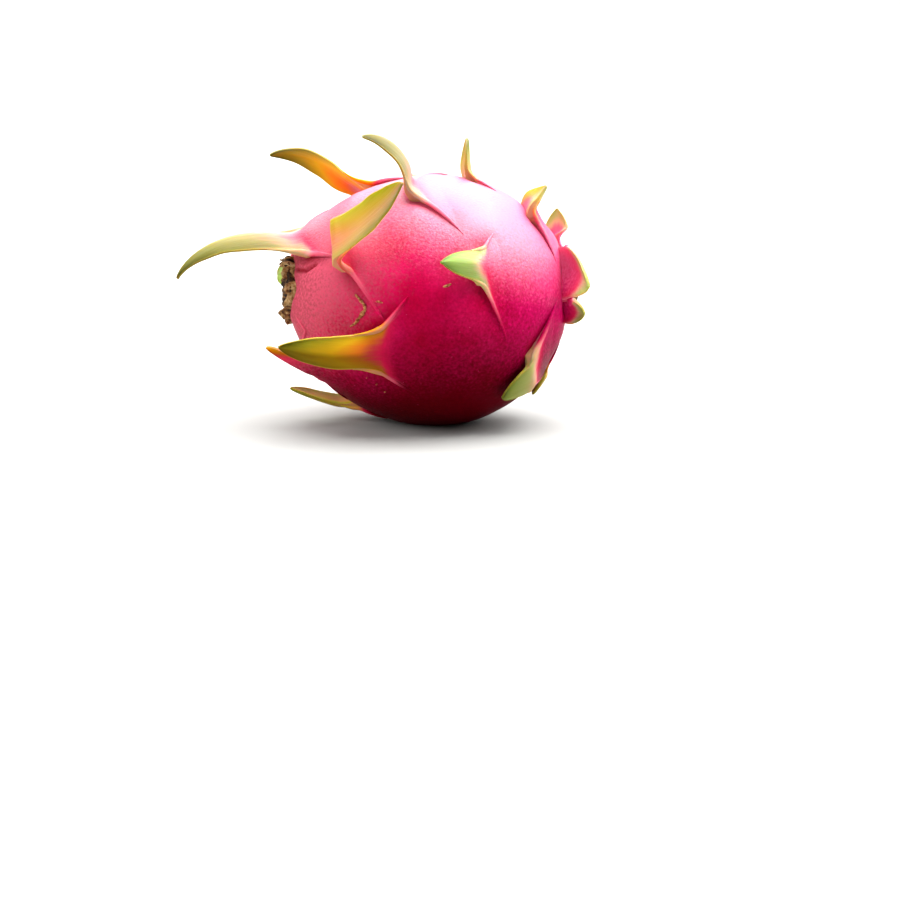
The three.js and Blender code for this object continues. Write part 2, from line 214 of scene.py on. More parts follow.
# %% Single scales
OWN_SHAPE = {
    0: dict(slide=-4, turn=20, length=52, lift=56, curl=-68, sweep=4, bend=0.12, point=0.9,
            green=0.6, pale=0.8),
    1: dict(slide=2, turn=10, length=24, lift=22, curl=-6, sweep=0, green=0, late=0.8),
    2: dict(length=32, lift=104, curl=20, green=1),
    3: dict(slide=0, turn=-1, length=44, lift=154, curl=-10, bend=0.1, width=1.2, sweep=-4,
            ridges=((12, 19), (10, 27)), keel=-0.5, green=0.1, pale=0.2, late=0.3, late_inside=0),
    4: dict(length=26, lift=14, curl=-6),
    5: dict(turn=10, length=40, lift=70, curl=-70, sweep=0, twist=30, width=0.85, green=0),
    6: dict(slide=-7, turn=2.5, length=38.5, lift=40, curl=-13, bend=0.3, width=1.1, sweep=-6,
            ridges=((8, 20), (10, 16)), green=0.1, late=0.1),
    8: dict(slide=-3.5, turn=-1, length=30, lift=78, curl=-80, bend=0.12, sweep=0, width=1.15,
            ridges=((12, 19), (13, 24)), green=0.6, pale=1, late=0.1),
    9: dict(turn=52, length=18, lift=4, curl=-8),
    11: dict(turn=-5, length=22.5, lift=25, curl=0, sweep=2, ridges=((4, 13), (8, 23)), point=0.8,
             green=1),
    12: dict(turn=25, length=18, lift=6, curl=-10),
    13: dict(slide=-11.5, turn=8.5, length=14.5, lift=75, curl=0, sweep=0, width=1.5, green=0.6, pale=0.4),
    14: dict(slide=5.5, turn=6, length=18, lift=-5, curl=-6, sweep=0, size=1, width=0.95,
             green=0.9, pale=0.4, late=0.15),
    16: dict(slide=-3.8, turn=-27, length=10, lift=82, curl=9, sweep=0, size=0.8, width=0.9,
             ridges=((10, 13), (9, 17)), point=1.2, green=0.3, late=0.3),
    17: dict(length=12, lift=4, curl=-14),
    18: dict(slide=4.5, turn=25, length=13, lift=25, curl=10, sweep=0, width=1.4, twist=50,
             point=0.9, green=1, late=0.5),
    19: dict(turn=-32, length=15, lift=34, curl=10, size=1.1, width=1.4, sweep=10, green=1, late=0.7),
    20: dict(slide=-4, turn=-126, length=7, lift=60, curl=10, sweep=0, green=1, late=0.6),
}

# %% Seeded draws


def seeded_draw(seed):
    factor = 1664525
    step = 1013904223
    span = 2 ** 32
    state = seed
    while True:
        state = (state * factor + step) % span
        yield 2 * state / span - 1


def grow_scale(number, draw):
    own = dict(slide=0, turn=0, length=LONGEST_SCALE * math.exp(-number / SHORTENING_COUNT))
    own.update(bend=USUAL_BEND, width=1, twist=0, keel=1, point=USUAL_POINT)
    own.update(green=USUAL_GREEN, pale=USUAL_PALE, late=USUAL_LATE)
    own["lift"] = USUAL_LIFT + LIFT_SPREAD * next(draw)
    own["curl"] = USUAL_CURL + CURL_SPREAD * next(draw)
    own["sweep"] = SWEEP_SPREAD * next(draw)
    own.update(OWN_SHAPE.get(number, {}))
    usual_size = min(max(math.sqrt(own["length"] / FULL_SIZE_LENGTH), SMALLEST_SIZE), 1)
    own.setdefault("size", usual_size)
    own.setdefault("late_inside", own["late"])
    usual_ridge = (RIDGE_ALONG * own["size"], RIDGE_ACROSS * own["size"])
    own.setdefault("ridges", (usual_ridge, usual_ridge))
    scale = SimpleNamespace(number=number, **own)
    scale.lift = math.radians(own["lift"])
    scale.curl = math.radians(own["curl"])
    scale.twist = math.radians(own["twist"])
    scale.theta = math.radians(FIRST_SCALE_ANGLE + SCALE_ANGLE_STEP * number + own["slide"])
    scale.phi = math.radians(GOLDEN_ANGLE * number + own["turn"])
    scale.forward, scale.around, scale.outward = skin_frame(scale.theta, scale.phi)
    return scale


scale_draw = seeded_draw(SCALE_SEED)
scales = [grow_scale(number, scale_draw) for number in range(SCALE_COUNT)]
print("scales:", len(scales), "longest", max(scale.length for scale in scales), "mm")

# %% [markdown]
# ## The root of a scale
# A scale doesn't sit on the peel, it is part of it: behind the blade the peel swells, and a thin
# ridge runs off each side and slowly sinks in. Reach counts from 0 at the blade to 1 where all of it
# has sunk, and side from -1 to 1 between the ridges. A small lip along the ridges catches light.

# %% Root formula
RECESS_RADIUS = 6.2
RECESS_CLEAR_RADIUS = 8.0
LAST_ROOT_ANGLE = math.pi - math.asin(RECESS_CLEAR_RADIUS / BODY_RADIUS)
ROOT_LENGTH = 15.0
ROOT_HALF_WIDTH = 9.5
ROOT_HEIGHT = 3.0
ROOT_FADE = 2.0
ROOT_CROWN = 1.5
ROOT_SUNK = 2.5
ROOT_TUCK = 0.25
RIDGE_HEIGHT = 1.6
RIDGE_FADE = 0.8
LIP_HEIGHT = 0.4
LIP_SHARPNESS = 14


def root_angles(scale, reach, side):
    ridge_along = np.where(side < 0, scale.ridges[0][0], scale.ridges[1][0])
    ridge_across = np.where(side < 0, scale.ridges[0][1], scale.ridges[1][1])
    along = lerp(ROOT_LENGTH * scale.size, ridge_along, side ** 2)
    across = side * lerp(ROOT_HALF_WIDTH * scale.size, ridge_across, reach)
    x, radius = skin_profile(scale.theta)
    along_radius = np.hypot(half_length(x) * np.sin(scale.theta), BODY_RADIUS * np.cos(scale.theta))
    theta = scale.theta + reach * np.minimum(along / along_radius, LAST_ROOT_ANGLE - scale.theta)
    around_radius = np.maximum(skin_profile(theta)[1], np.minimum(radius, 2 * RECESS_RADIUS))
    return theta, scale.phi + across / around_radius


def root_point(scale, reach, side, height):
    theta, phi = root_angles(scale, reach, side)
    on_skin = skin_point(theta, phi)
    outward = skin_frame(theta, phi)[2]
    return on_skin + outward * (height + relief(on_skin))[..., None]


def root_height(scale, reach, side):
    crown = ROOT_HEIGHT * scale.size * (1 - reach) ** ROOT_FADE
    ridge = RIDGE_HEIGHT * scale.size * (1 - reach) ** RIDGE_FADE
    lip = LIP_HEIGHT * scale.size * (1 - reach) * np.abs(side) ** LIP_SHARPNESS
    return lerp(crown, ridge, np.abs(side) ** ROOT_CROWN) + lip - ROOT_TUCK * reach


# %% [markdown]
# ## The blade of a scale
# The blade leaves the root at the root's own slope, bends off the skin by its lift and goes on
# bending by its curl, and some twist. It is keeled like a boat, thin at the margins, with a blunt
# point. A real blade is never flat, so its margins wave a little more towards the tip.

# %% Blade formula
BLADE_HALF_WIDTH = 5.6
BLADE_BELLY = 0.15
BLADE_SHOULDER = 3.0
BLADE_FLARE_LENGTH = 5.0
TIP_HALF_WIDTH = 0.35
SPINE_STEPS = 240


def blade_angle(scale, share):
    start = math.atan2(ROOT_FADE * ROOT_HEIGHT, ROOT_LENGTH)
    bent = lerp(start, scale.lift, smooth_step(share, 0, scale.bend))
    return bent + scale.curl * share ** 2


def blade_half_width(scale, share):
    own = BLADE_HALF_WIDTH * scale.size * scale.width
    belly = 1 + BLADE_BELLY * np.sin(math.pi * share)
    taper = np.maximum(1 - share ** BLADE_SHOULDER, 0) ** scale.point
    flare = (ROOT_HALF_WIDTH * scale.size - own) * np.exp(-share * scale.length / BLADE_FLARE_LENGTH)
    return np.maximum(own * belly * taper + flare, TIP_HALF_WIDTH)


def blade_spine(scale, share):
    middles = (np.arange(SPINE_STEPS) + 0.5) / SPINE_STEPS
    angles = blade_angle(scale, middles)
    ends = np.linspace(0, 1, SPINE_STEPS + 1)
    step = scale.length / SPINE_STEPS
    ahead = np.interp(share, ends, np.concatenate([[0], np.cumsum(np.cos(angles))]) * step)
    aloft = np.interp(share, ends, np.concatenate([[0], np.cumsum(np.sin(angles))]) * step)
    aside = scale.sweep * share ** 2
    return (
        ahead[:, None] * scale.forward
        + aloft[:, None] * scale.outward
        + aside[:, None] * scale.around
    )


# %% Blade faces
BLADE_THICKNESS = 2.2
TIP_THINNING = 0.5
KEEL_HEIGHT = 2.2
KEEL_SHARPNESS = 1.2
KEEL_HOLLOW = 0.55
KEEL_FULL_SHARE = 0.3
MARGIN_THICKNESS = 0.7
MARGIN_WAVE = 0.7
MARGIN_WAVELENGTH = 9.0
MARGIN_WAVE_FULL_SHARE = 0.5


def blade_faces(scale, share, side):
    angle = blade_angle(scale, share)
    flat = np.cos(angle)[:, None] * scale.outward - np.sin(angle)[:, None] * scale.forward
    twist = (scale.twist * smooth_step(share, 0, scale.bend))[:, None]
    face = np.cos(twist) * flat - np.sin(twist) * scale.around
    across = np.cos(twist) * scale.around + np.sin(twist) * flat
    height = root_height(scale, np.zeros_like(side), side)
    foot = root_point(scale, np.zeros_like(side), side, height)
    middle = foot[len(side) // 2]
    spread = blade_half_width(scale, share) / (ROOT_HALF_WIDTH * scale.size)
    outer = (middle + blade_spine(scale, share))[:, None, :]
    outer = outer + (spread[:, None] * ((foot - middle) @ scale.around))[..., None] * across[:, None, :]
    outer = outer + (spread[:, None] * ((foot - middle) @ scale.outward))[..., None] * face[:, None, :]
    keel = scale.keel * KEEL_HEIGHT * scale.size * smooth_step(share, 0, KEEL_FULL_SHARE)
    keel = keel * np.sqrt(np.maximum(1 - share, 0))
    keel = keel[:, None] * (1 - np.abs(side) ** KEEL_SHARPNESS)
    outer = outer + keel[..., None] * face[:, None, :]
    wave = MARGIN_WAVE * scale.size * smooth_step(share, 0, MARGIN_WAVE_FULL_SHARE)
    wave = wave[:, None] * side ** 2 * waves(outer, MARGIN_WAVELENGTH, 3)
    outer = outer + wave[..., None] * face[:, None, :]
    thickest = BLADE_THICKNESS * scale.size * (1 - TIP_THINNING * share)
    thickness = lerp(thickest[:, None], MARGIN_THICKNESS, side ** 2)
    sunk = (height + ROOT_SUNK) * np.exp(-share * scale.length / ROOT_SUNK)[:, None]
    inner = outer - (thickness + KEEL_HOLLOW * keel + sunk)[..., None] * face[:, None, :]
    return outer, inner


# %% [markdown]
# ## A scale as a closed sheet
# Root rows and blade rows follow one another, so one grid of points makes the outer face and a
# second one the inner face. The columns stand closer together at the margins, where the section
# turns fastest. The numbers that are kept for the colours start from those of plain skin, which are
# all 0. Growth, for one, counts 0 at the skin, 1 at the foot of the blade and 2 at its tip.

# %% Closed sheets


def sheet_faces(rows, columns):
    index = np.arange(2 * rows * columns).reshape(2, rows, columns)
    outer, inner = index

    def quads(a, b, c, d):
        return np.stack([a, b, c, d], axis=-1).reshape(-1, 4).tolist()

    faces = quads(outer[:-1, :-1], outer[1:, :-1], outer[1:, 1:], outer[:-1, 1:])
    faces += quads(inner[:-1, :-1], inner[:-1, 1:], inner[1:, 1:], inner[1:, :-1])
    faces += quads(outer[:-1, 0], inner[:-1, 0], inner[1:, 0], outer[1:, 0])
    faces += quads(outer[:-1, -1], outer[1:, -1], inner[1:, -1], inner[:-1, -1])
    faces += quads(outer[0, :-1], outer[0, 1:], inner[0, 1:], inner[0, :-1])
    faces += quads(outer[-1, :-1], inner[-1, :-1], inner[-1, 1:], outer[-1, 1:])
    return faces


# %% Scale pieces
ROOT_STEPS = 16
BLADE_STEP = 1.1
FEWEST_BLADE_STEPS = 16
SCALE_COLUMNS = 19
PLAIN_SKIN = dict(
    growth=0, margin=0, across=0, lengthwise=0, inner=0, green=0, pale=0, late=0, groove=0, cork=0
)


def make_scale(scale):
    side = np.sin(np.linspace(-math.pi / 2, math.pi / 2, SCALE_COLUMNS))
    reach = np.linspace(1, 0, ROOT_STEPS + 1)[:, None]
    blade_steps = max(FEWEST_BLADE_STEPS, round(scale.length / BLADE_STEP))
    share = np.arange(1, blade_steps + 1) / blade_steps
    outer_root = root_point(scale, reach, side, root_height(scale, reach, side))
    inner_root = root_point(scale, reach, side, np.full(outer_root.shape[:2], -ROOT_SUNK))
    outer_blade, inner_blade = blade_faces(scale, share, side)
    outer = np.concatenate([outer_root, outer_blade])
    inner = np.concatenate([inner_root, inner_blade])
    rows = len(outer)
    piece = add_piece(f"scale_{scale.number}", np.stack([outer, inner]), sheet_faces(rows, SCALE_COLUMNS))
    growth = np.concatenate([1 - reach[:, 0], 1 + share])
    root_width = np.full(len(reach), ROOT_HALF_WIDTH * scale.size)
    width = np.concatenate([root_width, blade_half_width(scale, share)])
    numbers = dict(
        growth=growth[:, None],
        margin=np.abs(side),
        across=width[:, None] * side,
        lengthwise=(growth * scale.length)[:, None],
        inner=np.array([0, 1])[:, None, None],
        green=scale.green,
        pale=scale.pale,
        late=np.array([scale.late, scale.late_inside])[:, None, None],
    )
    keep_numbers(piece, (2, rows, SCALE_COLUMNS), **(PLAIN_SKIN | numbers))
    return piece


scale_pieces = [make_scale(scale) for scale in scales]
print("scale pieces:", sum(len(piece.data.polygons) for piece in scale_pieces), "faces")

# %% [markdown]
# ## Round grids
# Body, flower and stem are turned like pots, and ribs and scars are thin rolls, so all of them are
# rings of points closed at both ends. The rings run towards the stem, each from the top towards the
# viewer, which makes every face look outwards.

# %% Ring helpers


def turned_faces(rings, sides):
    start = np.arange(rings * sides).reshape(rings, sides)
    following = np.roll(start, -1, axis=1)
    grid = np.stack([start[:-1], following[:-1], following[1:], start[1:]], axis=-1)
    first_pole = rings * sides
    faces = grid.reshape(-1, 4).tolist()
    faces += [[first_pole, b, a] for a, b in zip(start[0].tolist(), following[0].tolist())]
    faces += [[first_pole + 1, a, b] for a, b in zip(start[-1].tolist(), following[-1].tolist())]
    return faces


def turned_points(outline, sides):
    phi = np.arange(sides) * 2 * math.pi / sides
    radius = np.array([point[0] for point in outline])[:, None]
    x = np.array([point[1] for point in outline])[:, None]
    place = (x, -radius * np.sin(phi), axis_height(x) + radius * np.cos(phi))
    return np.stack(np.broadcast_arrays(*place), axis=-1)


def close_poles(rings):
    poles = np.stack([rings[0].mean(axis=0), rings[-1].mean(axis=0)])
    return np.concatenate([rings.reshape(-1, 3), poles])


# %% [markdown]
# ## Ribs and scars
# The ridge at each side of a root is a rounded rib that runs on over the skin. The skin also has
# a few corky scars, where it was rubbed and healed, and a fold below the navel's lip. All are thin
# rolls half sunk into the skin, which the union then joins to it, so they catch the light as real
# relief.

# %% Rolls on the skin
ROLL_SIDES = 12
ROLL_MARGIN = 0.8


def roll_points(line, outward, radius, flatness):
    tangent = unit(np.gradient(line, axis=0))
    aside = unit(np.cross(tangent, outward))
    turn = np.arange(ROLL_SIDES) * 2 * math.pi / ROLL_SIDES
    lifted = (radius * flatness)[:, None, None] * np.cos(turn)[:, None] * outward[:, None, :]
    spread = radius[:, None, None] * np.sin(turn)[:, None] * aside[:, None, :]
    return line[:, None, :] + lifted + spread, np.broadcast_to(np.cos(turn), (len(line), ROLL_SIDES))


def make_roll(name, line, outward, radius, flatness, growth, **numbers):
    rings, crest = roll_points(line, outward, radius, flatness)
    margin = lerp(ROLL_MARGIN, 1, np.clip(crest, 0, 1))
    points = close_poles(rings)
    piece = add_piece(name, points, turned_faces(len(rings), ROLL_SIDES))
    numbers["growth"] = np.append(np.repeat(growth, ROLL_SIDES), growth[[0, -1]])
    numbers["margin"] = np.append(margin, [ROLL_MARGIN, ROLL_MARGIN])
    keep_numbers(piece, len(points), **(PLAIN_SKIN | numbers))
    return piece


# %% Ribs
RIB_START = 0.25
RIB_REACH = 1.15
RIB_BLADE_STEPS = 14
RIB_STEPS = 22
RIB_SMOOTHINGS = 6
RIB_RADIUS = 1.3
RIB_FLATNESS = 0.8
RIB_LEVEL = 0.5
RIB_END = 0.02


def smoothed(line):
    for _ in range(RIB_SMOOTHINGS):
        line[1:-1] = (line[:-2] + 2 * line[1:-1] + line[2:]) / 4
    return line


def make_rib(scale, side):
    share = np.linspace(RIB_START, 0, RIB_BLADE_STEPS, endpoint=False)
    outer, inner = blade_faces(scale, share, np.array([-1.0, 0.0, 1.0]))
    face = unit(outer - inner)[:, 1]
    on_margin = outer[:, 0 if side < 0 else 2] - MARGIN_THICKNESS / 2 * face
    reach = np.linspace(0, RIB_REACH, RIB_STEPS)
    sides = np.full(RIB_STEPS, side)
    left = np.clip(1 - reach, 0, 1)
    height = RIB_LEVEL * RIDGE_HEIGHT * scale.size * left ** RIDGE_FADE
    on_root = root_point(scale, reach, sides, height)
    line = smoothed(np.concatenate([on_margin, on_root]))
    outward = unit(smoothed(np.concatenate([face, skin_frame(*root_angles(scale, reach, sides))[2]])))
    on_blade = lerp(MARGIN_THICKNESS / 2, RIB_RADIUS * scale.size, smooth_step(-share, -RIB_START, 0))
    on_skin = RIB_RADIUS * scale.size * np.sqrt(1 + RIB_END - reach / RIB_REACH)
    radius = np.concatenate([on_blade, on_skin])
    growth = np.concatenate([1 + share, left])
    return make_roll(
        f"rib_{scale.number}", line, outward, radius, RIB_FLATNESS, growth,
        green=scale.green, pale=scale.pale, late=scale.late,
    )


ribs = [make_rib(scale, side) for scale in scales for side in (-1.0, 1.0)]
print("ribs:", len(ribs))

# %% Scars and the fold of the lip
SCAR_STEP = 0.5
FEWEST_SCAR_POINTS = 4
SCAR_FLATNESS = 0.6
SCAR_UNEVENNESS = 0.5
SCAR_WAVELENGTH = 1.3
SCAR_END_ANGLE = 0.15

# Scars as lines of the two skin angles in degrees, with their half width in millimetres and corkiness
SCARS = [
    (0.65, 1, [(53.7, 79.4), (57.6, 84.8), (57.9, 87.3), (55.8, 91.2), (53.2, 95.9), (50.9, 98.4)]),
    (0.5, 1, [(88.8, 76.3), (90.3, 75.9), (91.9, 75.0)]),
    (0.35, 0.8, [(61.4, 83.0), (63.5, 82.6), (65.5, 83.3)]),
    (0.5, 0.5, [(59.1, 127.2), (59.6, 127.5)]),
    (0.5, 0.5, [(63.3, 129.7), (63.8, 130.0)]),
    (0.5, 0.5, [(67.0, 133.0), (67.5, 133.4)]),
]
LIP_FOLD = [(15.0, 121.6), (22.0, 121.0), (27.1, 123.3), (25.3, 144.2)]
LIP_FOLD_RADIUS = 0.9
LIP_FOLD_END_ANGLE = 0.1
LIP_FOLD_GROWTH = 0.35


def end_taper(count, end_angle):
    return np.sqrt(np.sin(np.linspace(end_angle, math.pi - end_angle, count)))


def line_on_skin(angles):
    corners = np.radians(np.array(angles, float))
    steps = np.linalg.norm(np.diff(skin_point(*corners.T), axis=0), axis=1)
    length = np.concatenate([[0], np.cumsum(steps)])
    count = max(FEWEST_SCAR_POINTS, round(length[-1] / SCAR_STEP))
    places = np.linspace(0, length[-1], count)
    theta = np.interp(places, length, corners[:, 0])
    phi = np.interp(places, length, corners[:, 1])
    on_skin = skin_point(theta, phi)
    outward = skin_frame(theta, phi)[2]
    return on_skin + outward * relief(on_skin)[:, None], outward


def make_scar(number):
    half_width, cork, angles = SCARS[number]
    line, outward = line_on_skin(angles)
    uneven = 1 + SCAR_UNEVENNESS * waves(line, SCAR_WAVELENGTH, 12)
    radius = half_width * end_taper(len(line), SCAR_END_ANGLE) * uneven
    growth = np.zeros(len(line))
    return make_roll(f"scar_{number}", line, outward, radius, SCAR_FLATNESS, growth, cork=cork)


def make_lip_fold():
    line, outward = line_on_skin(LIP_FOLD)
    radius = LIP_FOLD_RADIUS * end_taper(len(line), LIP_FOLD_END_ANGLE)
    growth = np.full(len(line), LIP_FOLD_GROWTH)
    return make_roll("lip_fold", line, outward, radius, RIB_FLATNESS, growth)


scars = [make_scar(number) for number in range(len(SCARS))]
lip_fold = make_lip_fold()
print("scars:", len(scars))

# %% [markdown]
# ## The body
# The body is turned like a pot: rings of points from the floor of the navel, over the lip and the
# skin, to the recess at the stem. Beside every ridge and under every blade the real skin is drawn
# in, so the rings sink a little there, which gives the dark folds between the scales.

# %% Grooves beside the scales
GROOVE_DEPTH = 1.6
GROOVE_WIDTH = 4.0
GROOVE_POINTS = 24
NAVEL_FOLD = [(17.5, 52.0), (19.4, 54.8), (25.7, 60.5), (33.1, 56.8)]
NAVEL_FOLD_WIDTH = 0.9


def groove_share(points):
    share = np.zeros(points.shape[:-1])
    for place in line_on_skin(NAVEL_FOLD)[0]:
        distance = np.linalg.norm(points - place, axis=-1)
        share = np.maximum(share, np.exp(-((distance / NAVEL_FOLD_WIDTH) ** 2)))
    reach = np.linspace(0, 1, GROOVE_POINTS)
    across = np.linspace(-1, 1, GROOVE_POINTS)
    for scale in scales:
        lines = [(reach, -np.ones_like(reach)), (reach, np.ones_like(reach)), (0 * across, across)]
        for line_reach, line_side in lines:
            line = skin_point(*root_angles(scale, line_reach, line_side))
            for place, line_share in zip(line, scale.size * (1 - line_reach)):
                distance = np.linalg.norm(points - place, axis=-1)
                share = np.maximum(share, line_share * np.exp(-((distance / GROOVE_WIDTH) ** 2)))
    return share


# %% Body piece
NAVEL_LIP_RADIUS = 13.0
NAVEL_MOUTH_RADIUS = 11.9
NAVEL_FLOOR_RADIUS = 10.4
NAVEL_DEPTH = 6.4
LIP_ROUNDING = 0.5
FLOOR_ROUNDING = 1.2
RECESS_DEPTH = 2.0
BODY_SIDES = 300
BODY_RINGS = 132
LIP_WAVE = 2.2
LIP_WAVELENGTH = 8.0
LIP_WAVE_REACH = 5.0
LIP_WAVE_INSIDE = (0, 0, 0.2, 0.9, 1)
LIP_OVERHANG = 0.05

lip_angle = math.asin(NAVEL_LIP_RADIUS / BODY_RADIUS)
recess_angle = math.pi - math.asin(RECESS_RADIUS / BODY_RADIUS)
navel_lip_x = float(skin_profile(lip_angle)[0])
navel_floor_x = navel_lip_x + NAVEL_DEPTH
recess_floor_x = float(skin_profile(recess_angle)[0]) - RECESS_DEPTH


def make_body():
    hollow = [
        (NAVEL_FLOOR_RADIUS / 2, navel_floor_x),
        (NAVEL_FLOOR_RADIUS - FLOOR_ROUNDING, navel_floor_x),
        (NAVEL_FLOOR_RADIUS, navel_floor_x - FLOOR_ROUNDING),
        (NAVEL_MOUTH_RADIUS, navel_lip_x + LIP_ROUNDING),
        (NAVEL_LIP_RADIUS - LIP_ROUNDING, navel_lip_x - LIP_OVERHANG),
    ]
    recess = [(RECESS_RADIUS, recess_floor_x), (RECESS_RADIUS / 2, recess_floor_x)]
    theta = np.linspace(lip_angle, recess_angle, BODY_RINGS)[:, None]
    phi = np.arange(BODY_SIDES) * 2 * math.pi / BODY_SIDES
    skin = skin_point(theta, phi)
    groove = groove_share(skin)
    outward = skin_frame(theta, phi)[2]
    skin = skin + outward * (relief(skin) - GROOVE_DEPTH * groove)[..., None]
    rings = np.concatenate([turned_points(hollow, BODY_SIDES), skin, turned_points(recess, BODY_SIDES)])
    lip_wave = LIP_WAVE * waves(skin[0], LIP_WAVELENGTH, 13)
    beyond = np.exp(-BODY_RADIUS * (theta[:, 0] - lip_angle) / LIP_WAVE_REACH)
    rings[:len(hollow) + BODY_RINGS, :, 0] += np.concatenate([LIP_WAVE_INSIDE, beyond])[:, None] * lip_wave
    rings[..., 2] = np.maximum(rings[..., 2], 0)
    points = close_poles(rings)
    piece = add_piece("fruit_skin", points, turned_faces(len(rings), BODY_SIDES))
    kept_groove = np.zeros(len(points))
    first = len(hollow) * BODY_SIDES
    kept_groove[first:first + groove.size] = groove.ravel()
    keep_numbers(piece, len(points), **(PLAIN_SKIN | dict(groove=kept_groove)))
    return piece


body_piece = make_body()
print("body:", len(body_piece.data.polygons), "faces")

# %% [markdown]
# ## One peel
# Body and scales are grown together, so the solids are united into one closed mesh. The manifold
# solver is quick on large closed meshes and keeps the numbers on the corners. Edges that turn by
# more than a set angle stay sharp, so folds and margins are crisp while the rest shades smoothly.

# %% Unite
SHARP_ANGLE = math.radians(48)


def unite(base, others, name):
    group = bpy.data.collections.new(name + "_parts")
    bpy.context.scene.collection.children.link(group)
    for other in others:
        group.objects.link(other)
    change = base.modifiers.new("unite", "BOOLEAN")
    change.operation = "UNION"
    change.operand_type = "COLLECTION"
    change.collection = group
    change.solver = "MANIFOLD"
    graph = bpy.context.evaluated_depsgraph_get()
    mesh = bpy.data.meshes.new_from_object(base.evaluated_get(graph))
    for part in [base, *others]:
        bpy.data.meshes.remove(part.data)
    bpy.data.collections.remove(group)
    mesh.name = name
    mesh.materials.clear()
    mesh.shade_smooth()
    mesh.set_sharp_from_angle(angle=SHARP_ANGLE)
    piece = bpy.data.objects.new(name, mesh)
    bpy.context.scene.collection.objects.link(piece)
    print(name, "has", len(mesh.vertices), "points and", len(mesh.polygons), "faces")
    return piece


peel = unite(body_piece, [*scale_pieces, *ribs, *scars, lip_fold], "peel")
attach(peel, "root")
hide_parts("fruit")

# %% [markdown]
# ## Colours and shader nodes
# Colours are written as they look on a screen, in hex, and turned into the linear light values that
# the renderer works with. One helper adds a node, sets it, links it and gives back its outputs, which
# keeps each finish readable from top to bottom.

# %% Shader helpers
MIX_FACTOR = 0
MIX_FIRST = 6
MIX_SECOND = 7
MIX_RESULT = 2


def linear(hex_colour):
    values = [int(hex_colour[i:i + 2], 16) / 255 for i in (1, 3, 5)]
    return tuple(v / 12.92 if v <= 0.04045 else ((v + 0.055) / 1.055) ** 2.4 for v in values) + (1,)


def per_metre(millimetres):
    return 1000 / millimetres


def add_node(tree, kind, inputs, stops=(), **settings):
    made = tree.nodes.new("ShaderNode" + kind)
    for name, value in settings.items():
        setattr(made, name, value)
    for _ in stops[2:]:
        made.color_ramp.elements.new(1)
    for number, (place, colour) in enumerate(stops):
        made.color_ramp.elements[number].position = place
        made.color_ramp.elements[number].color = linear(colour)
    for name, value in inputs.items():
        if isinstance(value, bpy.types.NodeSocket):
            tree.links.new(value, made.inputs[name])
        else:
            made.inputs[name].default_value = value
    return made.outputs


def new_finish(name):
    material = bpy.data.materials.new(name)
    material.use_nodes = True
    material.node_tree.nodes.clear()
    return material


# %% [markdown]
# ## Finish of the peel: where everything is
# The peel's finish reads the numbers kept on the mesh. Fine streaks run along every scale, so one
# noise is laid out in the scale's own length and width instead of in space.

# %% Peel numbers
STREAK_WIDTH = 0.9
STREAK_LENGTH = 12.0

waxy_peel = new_finish("waxy fruit peel")
peel_tree = waxy_peel.node_tree
peel_number = {
    name: add_node(peel_tree, "Attribute", {}, attribute_name=name)["Fac"] for name in PLAIN_SKIN
}
peel_place = add_node(peel_tree, "TexCoord", {})["Object"]
peel_axes = add_node(peel_tree, "SeparateXYZ", {"Vector": peel_place})
streak_across, streak_along = [
    add_node(peel_tree, "Math", {0: peel_number[name], 1: size}, operation="DIVIDE")[0]
    for name, size in (("across", STREAK_WIDTH), ("lengthwise", STREAK_LENGTH))
]
streak_place = add_node(peel_tree, "CombineXYZ", {"X": streak_across, "Y": streak_along})[0]
streaks = add_node(peel_tree, "TexNoise", {"Vector": streak_place, "Scale": 1, "Detail": 3})["Fac"]
print("numbers that the peel's finish reads:", ", ".join(peel_number))

# %% [markdown]
# ## Colour of the skin
# The pink comes from betalain dyes that are unevenly spread, in broad cloudy patches and in a fine
# grain. The real grain is finer than the picture can show, so it is drawn about a millimetre coarse.
# It also shifts the places that the large tints go by, which frays their borders.

# %% Skin patches and grain
MOTTLE_SIZE = 17.0
MOTTLE_RUN = [(0.3, "#ad0433"), (0.5, "#bd0844"), (0.72, "#cf1457")]
GRAIN_SIZE = 1.0
GRAIN_FRAY = 32.0

mottle = add_node(
    peel_tree, "TexNoise",
    {"Vector": peel_place, "Scale": per_metre(MOTTLE_SIZE), "Detail": 4, "Roughness": 0.6},
)["Fac"]
skin_colour = add_node(peel_tree, "ValToRGB", {"Fac": mottle}, stops=MOTTLE_RUN)["Color"]
grain_noise = add_node(
    peel_tree, "TexNoise", {"Vector": peel_place, "Scale": per_metre(GRAIN_SIZE), "Detail": 2}
)
grain = grain_noise["Fac"]
grain_shift = add_node(
    peel_tree, "VectorMath", {0: grain_noise["Color"], 1: (0.5, 0.5, 0.5)}, operation="SUBTRACT"
)[0]
grainy_place = add_node(
    peel_tree, "VectorMath", {0: grain_shift, 1: (GRAIN_FRAY * MM,) * 3, 2: peel_place},
    operation="MULTIPLY_ADD",
)[0]
grainy_axes = add_node(peel_tree, "SeparateXYZ", {"Vector": grainy_place})

# %% [markdown]
# ## Large tints of the skin
# The navel end is duller, with a brown rim, and partly paler as a painted sheen, and the stem end
# brighter. A pale bloom of wax lies on top, partly as a painted highlight, and the underside is painted a
# deep red as shade. Each tint runs along an axis of the fruit, and some of these axes slant: they are one
# coordinate plus a share of another.

# %% Skin tints
NAVEL_SHEEN_SLANT = -0.6
BLOOM_HIGHLIGHT_SLANT = 0.35
PAINTED_SHADE_SLANT = -0.3

